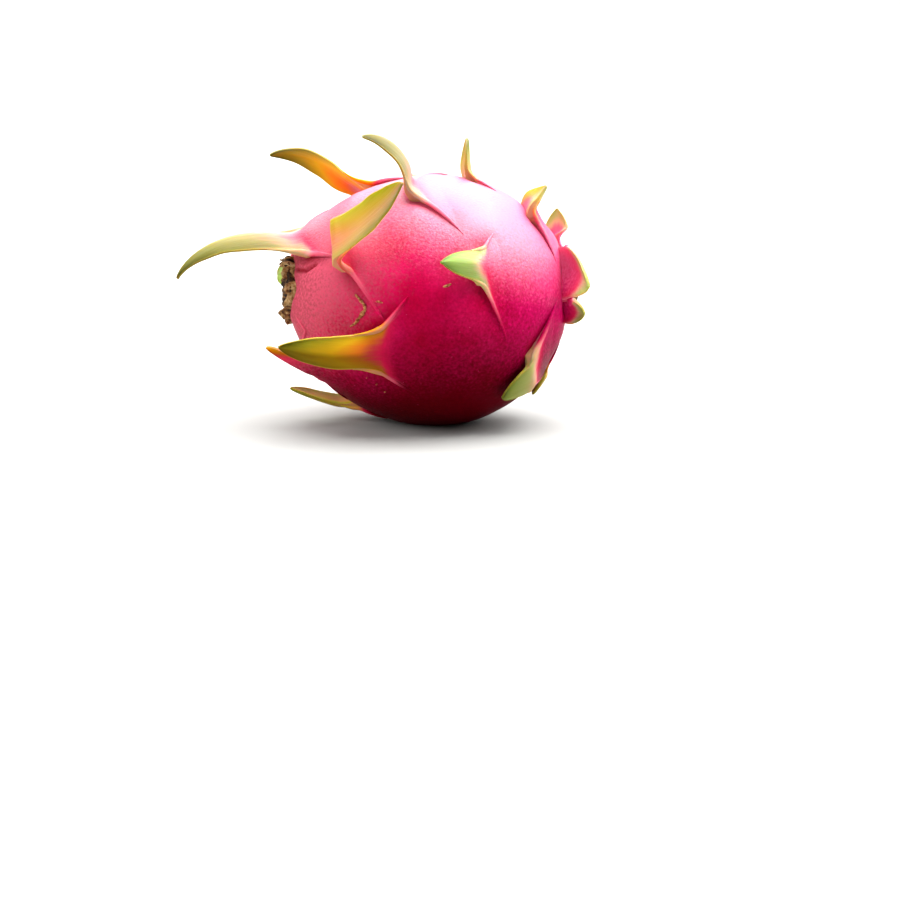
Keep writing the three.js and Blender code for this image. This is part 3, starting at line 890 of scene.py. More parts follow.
navel_half = add_node(peel_tree, "Math", {0: grainy_axes["X"], 1: 0}, operation="MINIMUM")[0]
skin_slants = [
    (grainy_axes["X"], NAVEL_SHEEN_SLANT, grainy_axes["Z"]),
    (grainy_axes["Z"], BLOOM_HIGHLIGHT_SLANT, grainy_axes["X"]),
    (grainy_axes["Z"], PAINTED_SHADE_SLANT, navel_half),
]
navel_sheen_side, bloom_highlight_side, painted_shade_height = [
    add_node(peel_tree, "Math", {0: other, 1: slant, 2: main}, operation="MULTIPLY_ADD")[0]
    for main, slant, other in skin_slants
]
# Where a tint starts and is full along its axis, in millimetres, how strong it gets, and its colour
SKIN_TINTS = [
    # Partly a painted sheen: the navel end is paler and duller.
    (navel_sheen_side, -46, -80, 0.75, "#c6586a"),
    (grainy_axes["X"], -44, -53, 0.5, "#9c3e46"),
    (grainy_axes["X"], 10, 45, 0.75, "#d00764"),
    # Partly a painted highlight: a pale, speckled bloom on the upper side.
    (bloom_highlight_side, 60, 86, 0.3, "#ea92b4"),
    # Painted shade: the underside is darkened to a deep red.
    (painted_shade_height, 58, 14, 0.96, "#520005"),
]
for axis, start, full, strength, tint in SKIN_TINTS:
    tint_share = add_node(
        peel_tree, "MapRange",
        {"Value": axis, "From Min": start * MM, "From Max": full * MM, "To Max": strength},
        interpolation_type="SMOOTHSTEP",
    )[0]
    skin_colour = add_node(
        peel_tree, "Mix", {MIX_FACTOR: tint_share, MIX_FIRST: skin_colour, MIX_SECOND: linear(tint)},
        data_type="RGBA",
    )[MIX_RESULT]
print("tints of the skin:", len(SKIN_TINTS))

# %% [markdown]
# ## Grain, folds and pores
# The grain itself lightens and darkens the tinted skin. The drawn-in folds are painted darker as shade,
# and small pale dots are the breathing pores, which stand a few millimetres apart. Cells of a Voronoi
# pattern have one middle each, so they give one dot per cell.

# %% Skin details
GRAIN_STRENGTH = 0.35
FOLD_SHADE_STRENGTH = 0.75
PORE_SPACING = 3.4
PORE_RADIUS_IN_CELL = 0.07
PORE_STRENGTH = 0.5

skin_colour = add_node(
    peel_tree, "Mix", {MIX_FACTOR: GRAIN_STRENGTH, MIX_FIRST: skin_colour, MIX_SECOND: grain},
    data_type="RGBA", blend_type="OVERLAY",
)[MIX_RESULT]
# Painted shade: the drawn-in folds are darkened.
fold_shade_share = add_node(
    peel_tree, "Math", {0: peel_number["groove"], 1: FOLD_SHADE_STRENGTH}, operation="MULTIPLY"
)[0]
pore_distance = add_node(
    peel_tree, "TexVoronoi", {"Vector": peel_place, "Scale": per_metre(PORE_SPACING)}
)["Distance"]
pore_share = add_node(
    peel_tree, "MapRange",
    {"Value": pore_distance, "From Min": PORE_RADIUS_IN_CELL, "From Max": PORE_RADIUS_IN_CELL / 2,
     "To Max": PORE_STRENGTH},
)[0]
for share, tint in ((fold_shade_share, "#8c0219"), (pore_share, "#d8557c")):
    skin_colour = add_node(
        peel_tree, "Mix", {MIX_FACTOR: share, MIX_FIRST: skin_colour, MIX_SECOND: linear(tint)},
        data_type="RGBA",
    )[MIX_RESULT]

# %% [markdown]
# ## Colour of the scales
# A scale greens from its tip and its margins inwards. Three runs of colour cover what the fruit
# shows: a ripe one through orange and ochre, a fresh one that is green almost to its foot, and a pale
# one. Each scale's own numbers mix them and hold the greening back, and faint streaks fray the
# borders.

# %% Greening
STREAK_STRENGTH = 0.08
MARGIN_LEAD = 0.4
GREENING_START = 0.9
GREENING_END = 2.1
RIPE_RUN = [(0.0, "#d42038"), (0.2, "#ea740a"), (0.42, "#daa602"), (0.72, "#958412"), (1.0, "#434f10")]
FRESH_RUN = [(0.0, "#dc7488"), (0.15, "#cba080"), (0.32, "#9cab5e"), (0.7, "#84a04a"), (1.0, "#4f6a24")]
PALE_RUN = [(0.0, "#dc7c92"), (0.16, "#c49c8a"), (0.4, "#99926a"), (0.75, "#7a723c"), (1.0, "#46421c")]

streak_shift = add_node(
    peel_tree, "MapRange", {"Value": streaks, "To Min": -STREAK_STRENGTH, "To Max": STREAK_STRENGTH}
)[0]
ripening = add_node(
    peel_tree, "Math", {0: peel_number["growth"], 1: peel_number["late"]}, operation="SUBTRACT"
)[0]
ripening = add_node(peel_tree, "Math", {0: ripening, 1: streak_shift}, operation="ADD")[0]
margin_squared = add_node(peel_tree, "Math", {0: peel_number["margin"], 1: 2}, operation="POWER")[0]
greening = add_node(
    peel_tree, "Math", {0: margin_squared, 1: MARGIN_LEAD, 2: ripening}, operation="MULTIPLY_ADD"
)[0]
blade_run = add_node(
    peel_tree, "MapRange", {"Value": greening, "From Min": GREENING_START, "From Max": GREENING_END}
)[0]
ripe_colour, fresh_colour, pale_colour = [
    add_node(peel_tree, "ValToRGB", {"Fac": blade_run}, stops=run)["Color"]
    for run in (RIPE_RUN, FRESH_RUN, PALE_RUN)
]

# %% [markdown]
# ## Inner faces of the scales
# The inner face of a blade lay against the fruit, and its colours run across it instead of along it:
# from olive at one margin through tan to yellow at the other. This run is partly the face's own colour
# and partly painted light and shade, yellow on the half that is lit and olive on the half in shade. They
# show on the scale that is turned back. A run of greys says how strong they are, by how green the scale
# is.

# %% Inner faces
# Partly painted light and shade: yellow on the lit half of the inner face, olive on the shaded half.
INNER_COLOUR_AND_SHADE_RUN = [(0.0, "#8f8a4a"), (0.15, "#a5825c"), (0.4, "#b57c5c"), (0.65, "#b08c2c"), (0.9, "#a39c10")]
INNER_STRENGTH_RUN = [(0.0, "#000000"), (0.1, "#d3d3d3"), (0.6, "#d3d3d3"), (1.0, "#606060")]

inner_half = add_node(peel_tree, "Math", {0: peel_number["across"]}, operation="SIGN")[0]
inner_side = add_node(
    peel_tree, "Math", {0: inner_half, 1: peel_number["margin"]}, operation="MULTIPLY"
)[0]
inner_place = add_node(peel_tree, "MapRange", {"Value": inner_side, "From Min": 1, "From Max": -1})[0]
inner_colour_and_shade = add_node(peel_tree, "ValToRGB", {"Fac": inner_place}, stops=INNER_COLOUR_AND_SHADE_RUN)["Color"]
inner_strength = add_node(
    peel_tree, "ValToRGB", {"Fac": peel_number["green"]}, stops=INNER_STRENGTH_RUN
)["Color"]
inner_share = add_node(
    peel_tree, "Math", {0: peel_number["inner"], 1: inner_strength}, operation="MULTIPLY"
)[0]

# %% [markdown]
# ## Painted shade on the scales
# Faces of ripe scales that look down, low on the fruit, are painted browner and darker as shade. The share
# is
# a product of three: how far the face is turned down, how low it is, and how ripe its scale is. All
# layers of a scale's colour are then mixed one over the other.

# %% Scale layers
SHADE_START = 0.3
SHADE_FULL = -0.6
SHADE_STRENGTH = 0.75
SHADE_TOP = 75.0
SHADE_FLOOR = 50.0

facing = add_node(peel_tree, "NewGeometry", {})["Normal"]
facing_up = add_node(peel_tree, "SeparateXYZ", {"Vector": facing})["Z"]
# Painted shade: downward faces of low, ripe scales are browned.
painted_shade_share = add_node(
    peel_tree, "MapRange",
    {"Value": facing_up, "From Min": SHADE_START, "From Max": SHADE_FULL, "To Max": SHADE_STRENGTH},
    interpolation_type="SMOOTHSTEP",
)[0]
low_share = add_node(
    peel_tree, "MapRange",
    {"Value": peel_axes["Z"], "From Min": SHADE_TOP * MM, "From Max": SHADE_FLOOR * MM},
)[0]
ripe_share = add_node(peel_tree, "Math", {0: 1, 1: peel_number["green"]}, operation="SUBTRACT")[0]
for share in (low_share, ripe_share):
    painted_shade_share = add_node(peel_tree, "Math", {0: painted_shade_share, 1: share}, operation="MULTIPLY")[0]
blade_layers = [
    (peel_number["green"], fresh_colour),
    (peel_number["pale"], pale_colour),
    (inner_share, inner_colour_and_shade),
    (painted_shade_share, linear("#5c3a06")),
]
blade_colour = ripe_colour
for share, colour in blade_layers:
    blade_colour = add_node(
        peel_tree, "Mix", {MIX_FACTOR: share, MIX_FIRST: blade_colour, MIX_SECOND: colour},
        data_type="RGBA",
    )[MIX_RESULT]

# %% [markdown]
# ## Skin into scale, pale edges and cork
# The pink goes over into the scale's colour at its foot. The crest of a rib is paler than the skin,
# and along a blade the margin is only a thin edge that dries to a light yellow. Scars are cork, which
# is brown and grainy.

# %% Peel colour
EDGE_RUN = [(0.0, "#d23c62"), (0.3, "#e07486"), (0.5, "#d69278"), (0.62, "#b09a42"), (1.0, "#777226")]
CORK_RUN = [(0.35, "#7a3a24"), (0.6, "#bd8258")]
EDGE_FADE_START = 0.05
EDGE_FADE_END = 0.6
TIP_GROWTH = 2

# What a share follows, where it starts and is full, and how strong it gets
peel_shares = [
    (greening, 0.5, 1.05, 0.75),
    (greening, 0.85, 1.15, 1),
    (peel_number["margin"], 0.88, 1.0, 0.6),
]
root_share, blade_share, edge_share = [
    add_node(
        peel_tree, "MapRange",
        {"Value": number, "From Min": start, "From Max": full, "To Max": strength},
        interpolation_type="SMOOTHSTEP",
    )[0]
    for number, start, full, strength in peel_shares
]
edge_fade = add_node(
    peel_tree, "MapRange",
    {"Value": peel_number["growth"], "From Min": EDGE_FADE_START, "From Max": EDGE_FADE_END},
)[0]
edge_share = add_node(peel_tree, "Math", {0: edge_share, 1: edge_fade}, operation="MULTIPLY")[0]
edge_place = add_node(peel_tree, "Math", {0: ripening, 1: TIP_GROWTH}, operation="DIVIDE")[0]
edge_colour = add_node(peel_tree, "ValToRGB", {"Fac": edge_place}, stops=EDGE_RUN)["Color"]
cork_colour = add_node(peel_tree, "ValToRGB", {"Fac": grain}, stops=CORK_RUN)["Color"]
peel_layers = [
    (root_share, linear("#d81c4a")),
    (blade_share, blade_colour),
    (edge_share, edge_colour),
    (peel_number["cork"], cork_colour),
]
peel_colour = skin_colour
for share, colour in peel_layers:
    peel_colour = add_node(
        peel_tree, "Mix", {MIX_FACTOR: share, MIX_FIRST: peel_colour, MIX_SECOND: colour},
        data_type="RGBA",
    )[MIX_RESULT]

# %% [markdown]
# ## Where the wax shines
# A thin natural wax gives the skin a broad, soft shine. Its level is high on the upper side and falls
# away lower down, which paints shade on the underside, and it dips beside the scale that is turned
# back, a painted shadow of that scale. So the level of the shine follows two slanting axes. The blades
# have less wax than the skin.

# %% Shine of the wax
LIT_SLANT = 0.2
STEM_SLANT = 0.4
SHINE_START = 53.0
SHINE_FULL = 72.0
SHINE_LOW = 0.02
SHINE_HIGH = 0.85
STEM_SIDE_LENGTH = 50.0
# The dip in this run is a painted shadow of the scale that is turned back.
STEM_SIDE_SHINE_AND_SHADOW_RUN = [(0, "#c4c4c4"), (0.25, "#585858"), (0.43, "#b8b8b8"), (0.8, "#d0d0d0"), (1, "#ffffff")]
BLADE_SHINE = 0.3

shine_slants = [
    (peel_axes["Z"], LIT_SLANT, peel_axes["X"]),
    (peel_axes["X"], STEM_SLANT, peel_axes["Z"]),
]
lit_height, stem_side = [
    add_node(peel_tree, "Math", {0: other, 1: slant, 2: main}, operation="MULTIPLY_ADD")[0]
    for main, slant, other in shine_slants
]
gloss = add_node(
    peel_tree, "MapRange",
    {"Value": lit_height, "From Min": SHINE_START * MM, "From Max": SHINE_FULL * MM,
     "To Min": SHINE_LOW, "To Max": SHINE_HIGH},
    interpolation_type="SMOOTHSTEP",
)[0]
stem_place = add_node(
    peel_tree, "MapRange", {"Value": stem_side, "From Min": 0, "From Max": STEM_SIDE_LENGTH * MM}
)[0]
stem_gloss_and_shadow = add_node(peel_tree, "ValToRGB", {"Fac": stem_place}, stops=STEM_SIDE_SHINE_AND_SHADOW_RUN)["Color"]
blade_gloss = add_node(
    peel_tree, "MapRange", {"Value": blade_share, "To Min": 1, "To Max": BLADE_SHINE}
)[0]
for share in (stem_gloss_and_shadow, blade_gloss):
    gloss = add_node(peel_tree, "Math", {0: gloss, 1: share}, operation="MULTIPLY")[0]

# %% [markdown]
# ## Surface of the peel
# Plant wax has an index of refraction of about 1.45. The leathery grain under it spreads the
# highlight. It is far lower than a millimetre, so it is a bump, drawn as coarse as the picture needs
# to show it. A little light also goes into the flesh under the surface and comes out redder.

# %% Peel surface
LEATHER_SIZE = 0.8
LEATHER_HEIGHT = 0.28
LEATHER_STRENGTH = 0.7
PEEL_ROUGHNESS = 0.42
WAX_IOR = 1.45
SKIN_GLOW = 0.1
BLADE_GLOW = 0.8
LIGHT_DEPTH = (1.5, 0.7, 0.25)

leather = add_node(
    peel_tree, "TexNoise",
    {"Vector": peel_place, "Scale": per_metre(LEATHER_SIZE), "Detail": 3, "Roughness": 0.55},
)["Fac"]
surface_height = add_node(
    peel_tree, "Mix", {0: blade_share, 2: leather, 3: streaks}, data_type="FLOAT"
)[0]
leather_bump = add_node(
    peel_tree, "Bump",
    {"Height": surface_height, "Strength": LEATHER_STRENGTH, "Distance": LEATHER_HEIGHT * MM},
)["Normal"]
light_share = add_node(
    peel_tree, "MapRange", {"Value": blade_share, "To Min": SKIN_GLOW, "To Max": BLADE_GLOW}
)[0]
peel_shader = add_node(
    peel_tree, "BsdfPrincipled",
    {
        "Base Color": peel_colour,
        "Roughness": PEEL_ROUGHNESS,
        "IOR": WAX_IOR,
        "Specular IOR Level": gloss,
        "Normal": leather_bump,
        "Subsurface Weight": light_share,
        "Subsurface Radius": LIGHT_DEPTH,
        "Subsurface Scale": MM,
    },
    subsurface_method="RANDOM_WALK",
)["BSDF"]
add_node(peel_tree, "OutputMaterial", {"Surface": peel_shader})
peel.data.materials.append(waxy_peel)
print(waxy_peel.name, "has", len(peel_tree.nodes), "nodes")

# %% [markdown]
# ## The dried flower
# The flower withers on the fruit and leaves a brown crust in the navel. It is made as a crumpled dark
# cup with torn, papery ribbons around it, which are the stubs of the petals. Cup and ribbons are
# united into one piece, and a number kept on them tells the papery parts from the dark ones.

# %% Flower cup
FLOWER_RADIUS = 10.4
FLOWER_RIM_RADIUS = 9.4
FLOWER_HOLLOW_RADIUS = 5.0
FLOWER_HOLLOW_DEPTH = 4.2
FLOWER_STAND_OUT = 3.4
NEIGHBOUR_GAP = 0.45
FLOWER_SIDES = 96
FLOWER_RING_SPACING = 0.5
CENTRE_RADIUS = 1.0
CRUMPLE_HEIGHT = 1.1
CRUMPLE_WAVELENGTH = 3.2
FINE_CRUMPLE_HEIGHT = 0.55
FINE_CRUMPLE_WAVELENGTH = 1.4
CUP_PAPERY = 0.15


def denser(outline, spacing):
    made = [outline[0]]
    for start, end in zip(outline, outline[1:]):
        count = max(1, round(math.dist(start, end) / spacing))
        made += [tuple(lerp(np.array(start), np.array(end), step / count)) for step in range(1, count + 1)]
    return made


def make_flower_cup():
    front = navel_lip_x - FLOWER_STAND_OUT
    back = navel_floor_x - NEIGHBOUR_GAP
    floor_radius = NAVEL_FLOOR_RADIUS - NEIGHBOUR_GAP
    outline = [
        (CENTRE_RADIUS, front + FLOWER_HOLLOW_DEPTH),
        (FLOWER_HOLLOW_RADIUS, front + 0.9 * FLOWER_HOLLOW_DEPTH),
        (lerp(FLOWER_HOLLOW_RADIUS, FLOWER_RIM_RADIUS, 0.6), front + 0.3 * FLOWER_HOLLOW_DEPTH),
        (FLOWER_RIM_RADIUS, front),
        (FLOWER_RADIUS, front + 0.4 * FLOWER_STAND_OUT),
        (FLOWER_RADIUS, navel_lip_x),
        (floor_radius, back - FLOOR_ROUNDING),
        (floor_radius - FLOOR_ROUNDING, back),
        (CENTRE_RADIUS, back),
    ]
    rings = turned_points(denser(outline, FLOWER_RING_SPACING), FLOWER_SIDES)
    outside = smooth_step(navel_lip_x - rings[..., 0], -1, FLOWER_STAND_OUT)
    for direction in range(3):
        crumple = CRUMPLE_HEIGHT * waves(rings, CRUMPLE_WAVELENGTH, 4 + direction)
        fine_crumple = FINE_CRUMPLE_HEIGHT * waves(rings, FINE_CRUMPLE_WAVELENGTH, 7 + direction)
        rings[..., direction] += outside * (crumple + fine_crumple)
    points = close_poles(rings)
    piece = add_piece("flower_cup", points, turned_faces(len(rings), FLOWER_SIDES))
    keep_numbers(piece, len(points), papery=CUP_PAPERY)
    return piece


flower_cup = make_flower_cup()
print("flower cup:", len(flower_cup.data.polygons), "faces")

# %% [markdown]
# ## Torn petals
# Each ribbon is a thin sheet that stands in a ring just outside the cup, torn off at its end, cupped
# and crumpled. Seeded draws give each its own size, lean and turn. The pairs below are the middle and
# the spread of a draw.

# %% Flower ribbons
RIBBON_COUNT = 22
RIBBON_ROWS = 14
RIBBON_COLUMNS = 9
RIBBON_THICKNESS = 0.4
RIBBON_STAGGER = 0.4
RIBBON_RADIUS = (10.7, 0.5)
RIBBON_LENGTH = (6.0, 1.2)
RIBBON_HALF_WIDTH = (2.8, 0.8)
RIBBON_LEAN = (2, 9)
RIBBON_TURN = (0, 25)
RIBBON_PAPERY = (0.65, 0.35)
RIBBON_FOOT_DEPTH = 1.5
RIBBON_TAPER = 0.15
TORN_SHARE = 0.95
TORN_ROUNDING = 0.2
TEAR_DEPTH = 0.2
TEAR_WIDTH = 0.8
RIBBON_CRUMPLE = 1.2
RIBBON_WAVELENGTH = 2.6
RIBBON_CUPPING = 0.7
FLOWER_SEED = 5
ribbon_draw = seeded_draw(FLOWER_SEED)


def drawn(middle, spread):
    return middle + spread * next(ribbon_draw)


def make_ribbon(number):
    angle = 2 * math.pi * drawn(number, RIBBON_STAGGER) / RIBBON_COUNT
    radius = drawn(*RIBBON_RADIUS)
    length = drawn(*RIBBON_LENGTH)
    half_width = drawn(*RIBBON_HALF_WIDTH)
    lean = math.radians(drawn(*RIBBON_LEAN))
    turn = math.radians(drawn(*RIBBON_TURN))
    outward = np.array([0, -math.sin(angle), math.cos(angle)])
    along = math.cos(lean) * np.array([-1, 0, 0]) + math.sin(lean) * outward
    flat = unit(np.cross(along, outward))
    face = unit(np.cross(flat, along))
    aside = math.cos(turn) * flat + math.sin(turn) * face
    face = math.cos(turn) * face - math.sin(turn) * flat
    foot_x = navel_lip_x + RIBBON_FOOT_DEPTH
    foot = np.array([foot_x, 0, axis_height(foot_x)]) + radius * outward
    up = np.linspace(0, 1, RIBBON_ROWS)[:, None]
    side = np.linspace(-1, 1, RIBBON_COLUMNS)
    tear_place = np.stack([TEAR_WIDTH * side, np.full_like(side, number + 0.5), 0 * side], axis=-1)
    tear = TEAR_DEPTH * waves(tear_place, 1, 10)
    torn = length * (TORN_SHARE - TORN_ROUNDING * side ** 2 + tear)
    spread = half_width * (1 - RIBBON_TAPER * up) * side
    middle = foot + (up * torn)[..., None] * along + spread[..., None] * aside
    crumple = RIBBON_CRUMPLE * up * waves(middle, RIBBON_WAVELENGTH, 11) + RIBBON_CUPPING * up * side ** 2
    middle = middle + crumple[..., None] * face
    sheet = np.stack([middle + RIBBON_THICKNESS / 2 * face, middle - RIBBON_THICKNESS / 2 * face])
    piece = add_piece(f"flower_ribbon_{number}", sheet, sheet_faces(RIBBON_ROWS, RIBBON_COLUMNS))
    keep_numbers(piece, sheet.shape[:3], papery=drawn(*RIBBON_PAPERY))
    return piece


flower_ribbons = [make_ribbon(number) for number in range(RIBBON_COUNT)]
dried_flower = unite(flower_cup, flower_ribbons, "withered_flower")
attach(dried_flower, "root")
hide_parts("dried_flower")

# %% [markdown]
# ## Finish of the dried flower
# Dead petals are dry, so they are matte, with no shine at all. The ribbons are tan and papery, the
# cup behind them, seen in the gaps, is dark brown, and mould spots both of them, in dark and light.

# %% Dried petal finish
SPOT_SIZE = 1.8
SPOT_STRENGTH = 0.7
SPOT_HEIGHT = 0.4
DRY_ROUGHNESS = 0.9
DRY_RUN = [(0.0, "#25160b"), (0.25, "#583a1d"), (0.5, "#896033"), (0.75, "#b08a56"), (1.0, "#cbab7a")]

dry_petals = new_finish("dried petals")
dry_tree = dry_petals.node_tree
dry_place = add_node(dry_tree, "TexCoord", {})["Object"]
papery = add_node(dry_tree, "Attribute", {}, attribute_name="papery")["Fac"]
dry_spots = add_node(
    dry_tree, "TexNoise",
    {"Vector": dry_place, "Scale": per_metre(SPOT_SIZE), "Detail": 5, "Roughness": 0.65},
)["Fac"]
spot_shift = add_node(
    dry_tree, "MapRange",
    {"Value": dry_spots, "From Min": 0.25, "From Max": 0.75,
     "To Min": -SPOT_STRENGTH, "To Max": SPOT_STRENGTH},
)[0]
dryness = add_node(dry_tree, "Math", {0: papery, 1: spot_shift}, operation="ADD")[0]
dry_colour = add_node(dry_tree, "ValToRGB", {"Fac": dryness}, stops=DRY_RUN)["Color"]
dry_bump = add_node(
    dry_tree, "Bump", {"Height": dry_spots, "Strength": 1, "Distance": SPOT_HEIGHT * MM}
)["Normal"]
dry_shader = add_node(
    dry_tree, "BsdfPrincipled",
    {"Base Color": dry_colour, "Roughness": DRY_ROUGHNESS, "Normal": dry_bump},
)["BSDF"]
add_node(dry_tree, "OutputMaterial", {"Surface": dry_shader})
dried_flower.data.materials.append(dry_petals)
print(dry_petals.name, "has", len(dry_tree.nodes), "nodes")

# %% [markdown]
# ## The cut stem
# The fruit is cut from a three-sided stem. The cut dries into a pale callus with a darker ring of
# wood round the pith, and the green bark around it shrinks into wrinkles.

# %% Stem stub
STEM_RADIUS = 5.3
STEM_LENGTH = 4.6
STEM_ROUNDING = 0.7
STEM_HOLLOW = 0.4
STEM_LOBING = 0.07
STEM_SIDES = 96
STEM_RING_SPACING = 0.3
PITH_RADIUS = 0.5
WRINKLE_HEIGHT = 0.18
WRINKLE_WAVELENGTH = 1.1
WRINKLE_STRETCH = (0.3, 1, 1)


def make_stem():
    foot = recess_floor_x + NEIGHBOUR_GAP
    cut = foot + STEM_LENGTH
    outline = [
        (PITH_RADIUS, foot),
        (STEM_RADIUS, foot),
        (STEM_RADIUS, cut - STEM_ROUNDING),
        (STEM_RADIUS - 0.3 * STEM_ROUNDING, cut - 0.3 * STEM_ROUNDING),
        (STEM_RADIUS - STEM_ROUNDING, cut),
        (0.6 * STEM_RADIUS, cut - 0.6 * STEM_HOLLOW),
        (0.45 * STEM_RADIUS, cut),
        (0.3 * STEM_RADIUS, cut - STEM_HOLLOW),
        (PITH_RADIUS, cut - STEM_HOLLOW),
    ]
    rings = turned_points(denser(outline, STEM_RING_SPACING), STEM_SIDES)
    axis = axis_height(rings[..., 0])
    turn = np.arctan2(-rings[..., 1], rings[..., 2] - axis)
    stretch = 1 + STEM_LOBING * np.cos(3 * turn)
    wrinkle = WRINKLE_HEIGHT * waves(rings * np.array(WRINKLE_STRETCH), WRINKLE_WAVELENGTH, 20)
    rings[..., 0] += wrinkle * smooth_step(rings[..., 0], foot, cut)
    rings[..., 1] *= stretch + wrinkle / STEM_RADIUS
    rings[..., 2] = axis + (rings[..., 2] - axis) * (stretch + wrinkle / STEM_RADIUS)
    points = close_poles(rings)
    piece = add_piece("stem_stub", points, turned_faces(len(rings), STEM_SIDES))
    reach = np.hypot(points[:, 1], points[:, 2] - axis_height(points[:, 0])) / STEM_RADIUS
    keep_numbers(piece, len(points), reach=reach, height=(points[:, 0] - foot) / STEM_LENGTH)
    return piece


stem_stub = make_stem()
stem_stub.data.set_sharp_from_angle(angle=SHARP_ANGLE)
print("stem stub:", len(stem_stub.data.polygons), "faces")
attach(stem_stub, "root")
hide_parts("cut_stem")

# %% [markdown]
# ## Finish of the cut stem
# Dry bark and cut wood are dull. The colours of the cut run from the pith outwards, so they follow
# the distance from the stem's middle, while the bark is blotchy and follows noise.

# %% Stem finish
BARK_GRAIN_SIZE = 1.2
BARK_GRAIN_HEIGHT = 0.2
BARK_GRAIN_STRENGTH = 0.8
STEM_ROUGHNESS = 0.8
CUT_START = 0.8
CUT_FULL = 0.95
CUT_RUN = [(0.15, "#a8946a"), (0.4, "#5f4526"), (0.52, "#97804e"), (0.85, "#7d6639"), (0.95, "#4a3a1c")]
BARK_RUN = [(0.35, "#4c4a20"), (0.5, "#68652f"), (0.65, "#8a7845")]

cut_wood = new_finish("dried cut stem")
cut_tree = cut_wood.node_tree
cut_reach, cut_height = [
    add_node(cut_tree, "Attribute", {}, attribute_name=name)["Fac"] for name in ("reach", "height")
]
cut_place = add_node(cut_tree, "TexCoord", {})["Object"]
bark_grain = add_node(
    cut_tree, "TexNoise", {"Vector": cut_place, "Scale": per_metre(BARK_GRAIN_SIZE), "Detail": 4}
)["Fac"]
cut_colour = add_node(cut_tree, "ValToRGB", {"Fac": cut_reach}, stops=CUT_RUN)["Color"]
bark_colour = add_node(cut_tree, "ValToRGB", {"Fac": bark_grain}, stops=BARK_RUN)["Color"]
cut_share = add_node(
    cut_tree, "MapRange", {"Value": cut_height, "From Min": CUT_START, "From Max": CUT_FULL}
)[0]
stem_colour = add_node(
    cut_tree, "Mix", {MIX_FACTOR: cut_share, MIX_FIRST: bark_colour, MIX_SECOND: cut_colour},
    data_type="RGBA",
)[MIX_RESULT]
bark_bump = add_node(
    cut_tree, "Bump",
    {"Height": bark_grain, "Strength": BARK_GRAIN_STRENGTH, "Distance": BARK_GRAIN_HEIGHT * MM},
)["Normal"]
stem_shader = add_node(
    cut_tree, "BsdfPrincipled",
    {"Base Color": stem_colour, "Roughness": STEM_ROUGHNESS, "Normal": bark_bump},
)["BSDF"]
add_node(cut_tree, "OutputMaterial", {"Surface": stem_shader})
stem_stub.data.materials.append(cut_wood)
print(cut_wood.name, "has", len(cut_tree.nodes), "nodes")

# %% [markdown]
# ## The floor
# The fruit lies on a sheet of pale paper that curves up behind it, so no horizon shows. Uncoated paper
# is matte, so it takes a soft shadow and mirrors nothing.

# %% Floor
FLOOR_HALF_WIDTH = 3.0
FLOOR_FRONT = -3.0
FLOOR_BACK = 1.6
CURVE_RADIUS = 0.8
WALL_TOP = 3.0
CURVE_STEPS = 16


def make_floor():
    turn = np.linspace(0, math.pi / 2, CURVE_STEPS)
    curve = np.stack([FLOOR_BACK + CURVE_RADIUS * np.sin(turn), CURVE_RADIUS * (1 - np.cos(turn))], -1)
    outline = np.concatenate([[[FLOOR_FRONT, 0]], curve, [[FLOOR_BACK + CURVE_RADIUS, WALL_TOP]]])
    left = np.insert(outline, 0, -FLOOR_HALF_WIDTH, axis=1)
    right = np.insert(outline, 0, FLOOR_HALF_WIDTH, axis=1)
    count = len(outline)
    faces = [[i, i + count, i + count + 1, i + 1] for i in range(count - 1)]
    return add_piece("studio_floor", np.concatenate([left, right]) / MM, faces)


floor = make_floor()
pale_paper = new_finish("pale matte paper")
paper_tree = pale_paper.node_tree
paper_shader = add_node(
    paper_tree, "BsdfPrincipled",
    {"Base Color": linear("#a3a3a1"), "Roughness": 0.95, "Specular IOR Level": 0.1},
)["BSDF"]
add_node(paper_tree, "OutputMaterial", {"Surface": paper_shader})
floor.data.materials.append(pale_paper)

# %% [markdown]
# ## The light
# A large soft panel above lights the fruit, as in a white studio, with weaker ones behind and at both
# sides. One more is turned away from the fruit and keeps the paper behind it white. Large panels are
# used because they give a broad, soft shine and a soft shadow.

# %% Light
FRUIT_MIDDLE = (0, 0, BODY_RADIUS * MM)
BACKDROP_MIDDLE = (0, 2.1, 0.2)
STUDIO_STRENGTH = 0.15
# Name, place, aim, width and depth in metres, and power in watts
PANELS = [
    ("panel_above", (0.15, 0.12, 1.0), FRUIT_MIDDLE, 1.2, 0.9, 36),
    ("panel_behind", (0.1, 1.2, 1.0), FRUIT_MIDDLE, 1.6, 0.8, 24),
    ("panel_right", (0.95, 0.1, 0.85), FRUIT_MIDDLE, 1.1, 0.9, 20),
    ("panel_left", (-1.0, -0.2, 0.6), FRUIT_MIDDLE, 0.8, 0.8, 12),
    ("panel_wall", (0, 1.1, 1.2), BACKDROP_MIDDLE, 2.5, 1.0, 80),
]


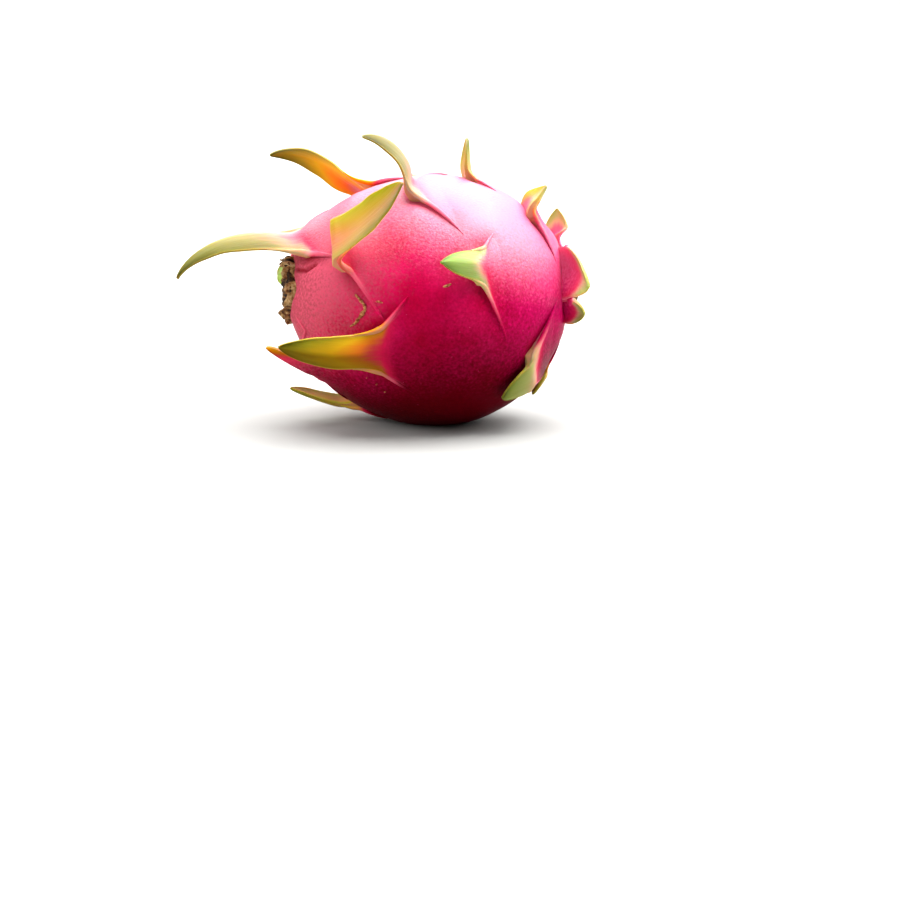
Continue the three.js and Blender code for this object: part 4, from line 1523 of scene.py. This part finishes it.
def add_panel(name, place, aim, width, depth, power):
    light = bpy.data.lights.new(name, "AREA")
    light.shape = "RECTANGLE"
    light.size = width
    light.size_y = depth
    light.energy = power
    panel = bpy.data.objects.new(name, light)
    panel.location = place
    panel.rotation_mode = "QUATERNION"
    panel.rotation_quaternion = (Vector(aim) - Vector(place)).to_track_quat("-Z", "Y")
    bpy.context.scene.collection.objects.link(panel)


for panel_settings in PANELS:
    add_panel(*panel_settings)
studio = bpy.data.worlds.new("studio")
studio.use_nodes = True
background = studio.node_tree.nodes["Background"]
background.inputs["Color"].default_value = (1, 1, 1, 1)
background.inputs["Strength"].default_value = STUDIO_STRENGTH
bpy.context.scene.world = studio
print("light panels:", len(PANELS))
bpy.context.scene.view_settings.view_transform = "Standard"

# %% [markdown]
# ## The camera
# The photograph looks from a little above and a little from the left, from about a metre away. Its
# frame holds more than this fruit, so the fruit stands in the upper part of the picture. The camera
# is turned to put it there, rather than shifting the lens.

# %% Camera
CAMERA_AZIMUTH = math.radians(-6)
CAMERA_ELEVATION = math.radians(8)
CAMERA_DISTANCE = 1.1
FRAME_PIXELS = 900
FOCAL_PIXELS = 2918
FRUIT_PIXEL = (433, 300)
SENSOR_WIDTH = 36

camera_lens = bpy.data.cameras.new("camera")
camera_lens.sensor_width = SENSOR_WIDTH
camera_lens.lens = FOCAL_PIXELS / FRAME_PIXELS * SENSOR_WIDTH
camera = bpy.data.objects.new("camera", camera_lens)
bpy.context.scene.collection.objects.link(camera)
bpy.context.scene.camera = camera
back = Vector((
    math.sin(CAMERA_AZIMUTH) * math.cos(CAMERA_ELEVATION),
    -math.cos(CAMERA_AZIMUTH) * math.cos(CAMERA_ELEVATION),
    math.sin(CAMERA_ELEVATION),
))
aim = Vector((0, 0, (BODY_RADIUS - FLAT_DEPTH) * MM))
straight = Vector((0, 0, -1))
to_fruit = Vector((FRUIT_PIXEL[0] - FRAME_PIXELS / 2, FRAME_PIXELS / 2 - FRUIT_PIXEL[1], -FOCAL_PIXELS))
camera.location = aim + back * CAMERA_DISTANCE
camera.rotation_mode = "QUATERNION"
camera.rotation_quaternion = (-back).to_track_quat("-Z", "Y") @ to_fruit.rotation_difference(straight)
print("lens:", round(camera_lens.lens, 1), "mm")
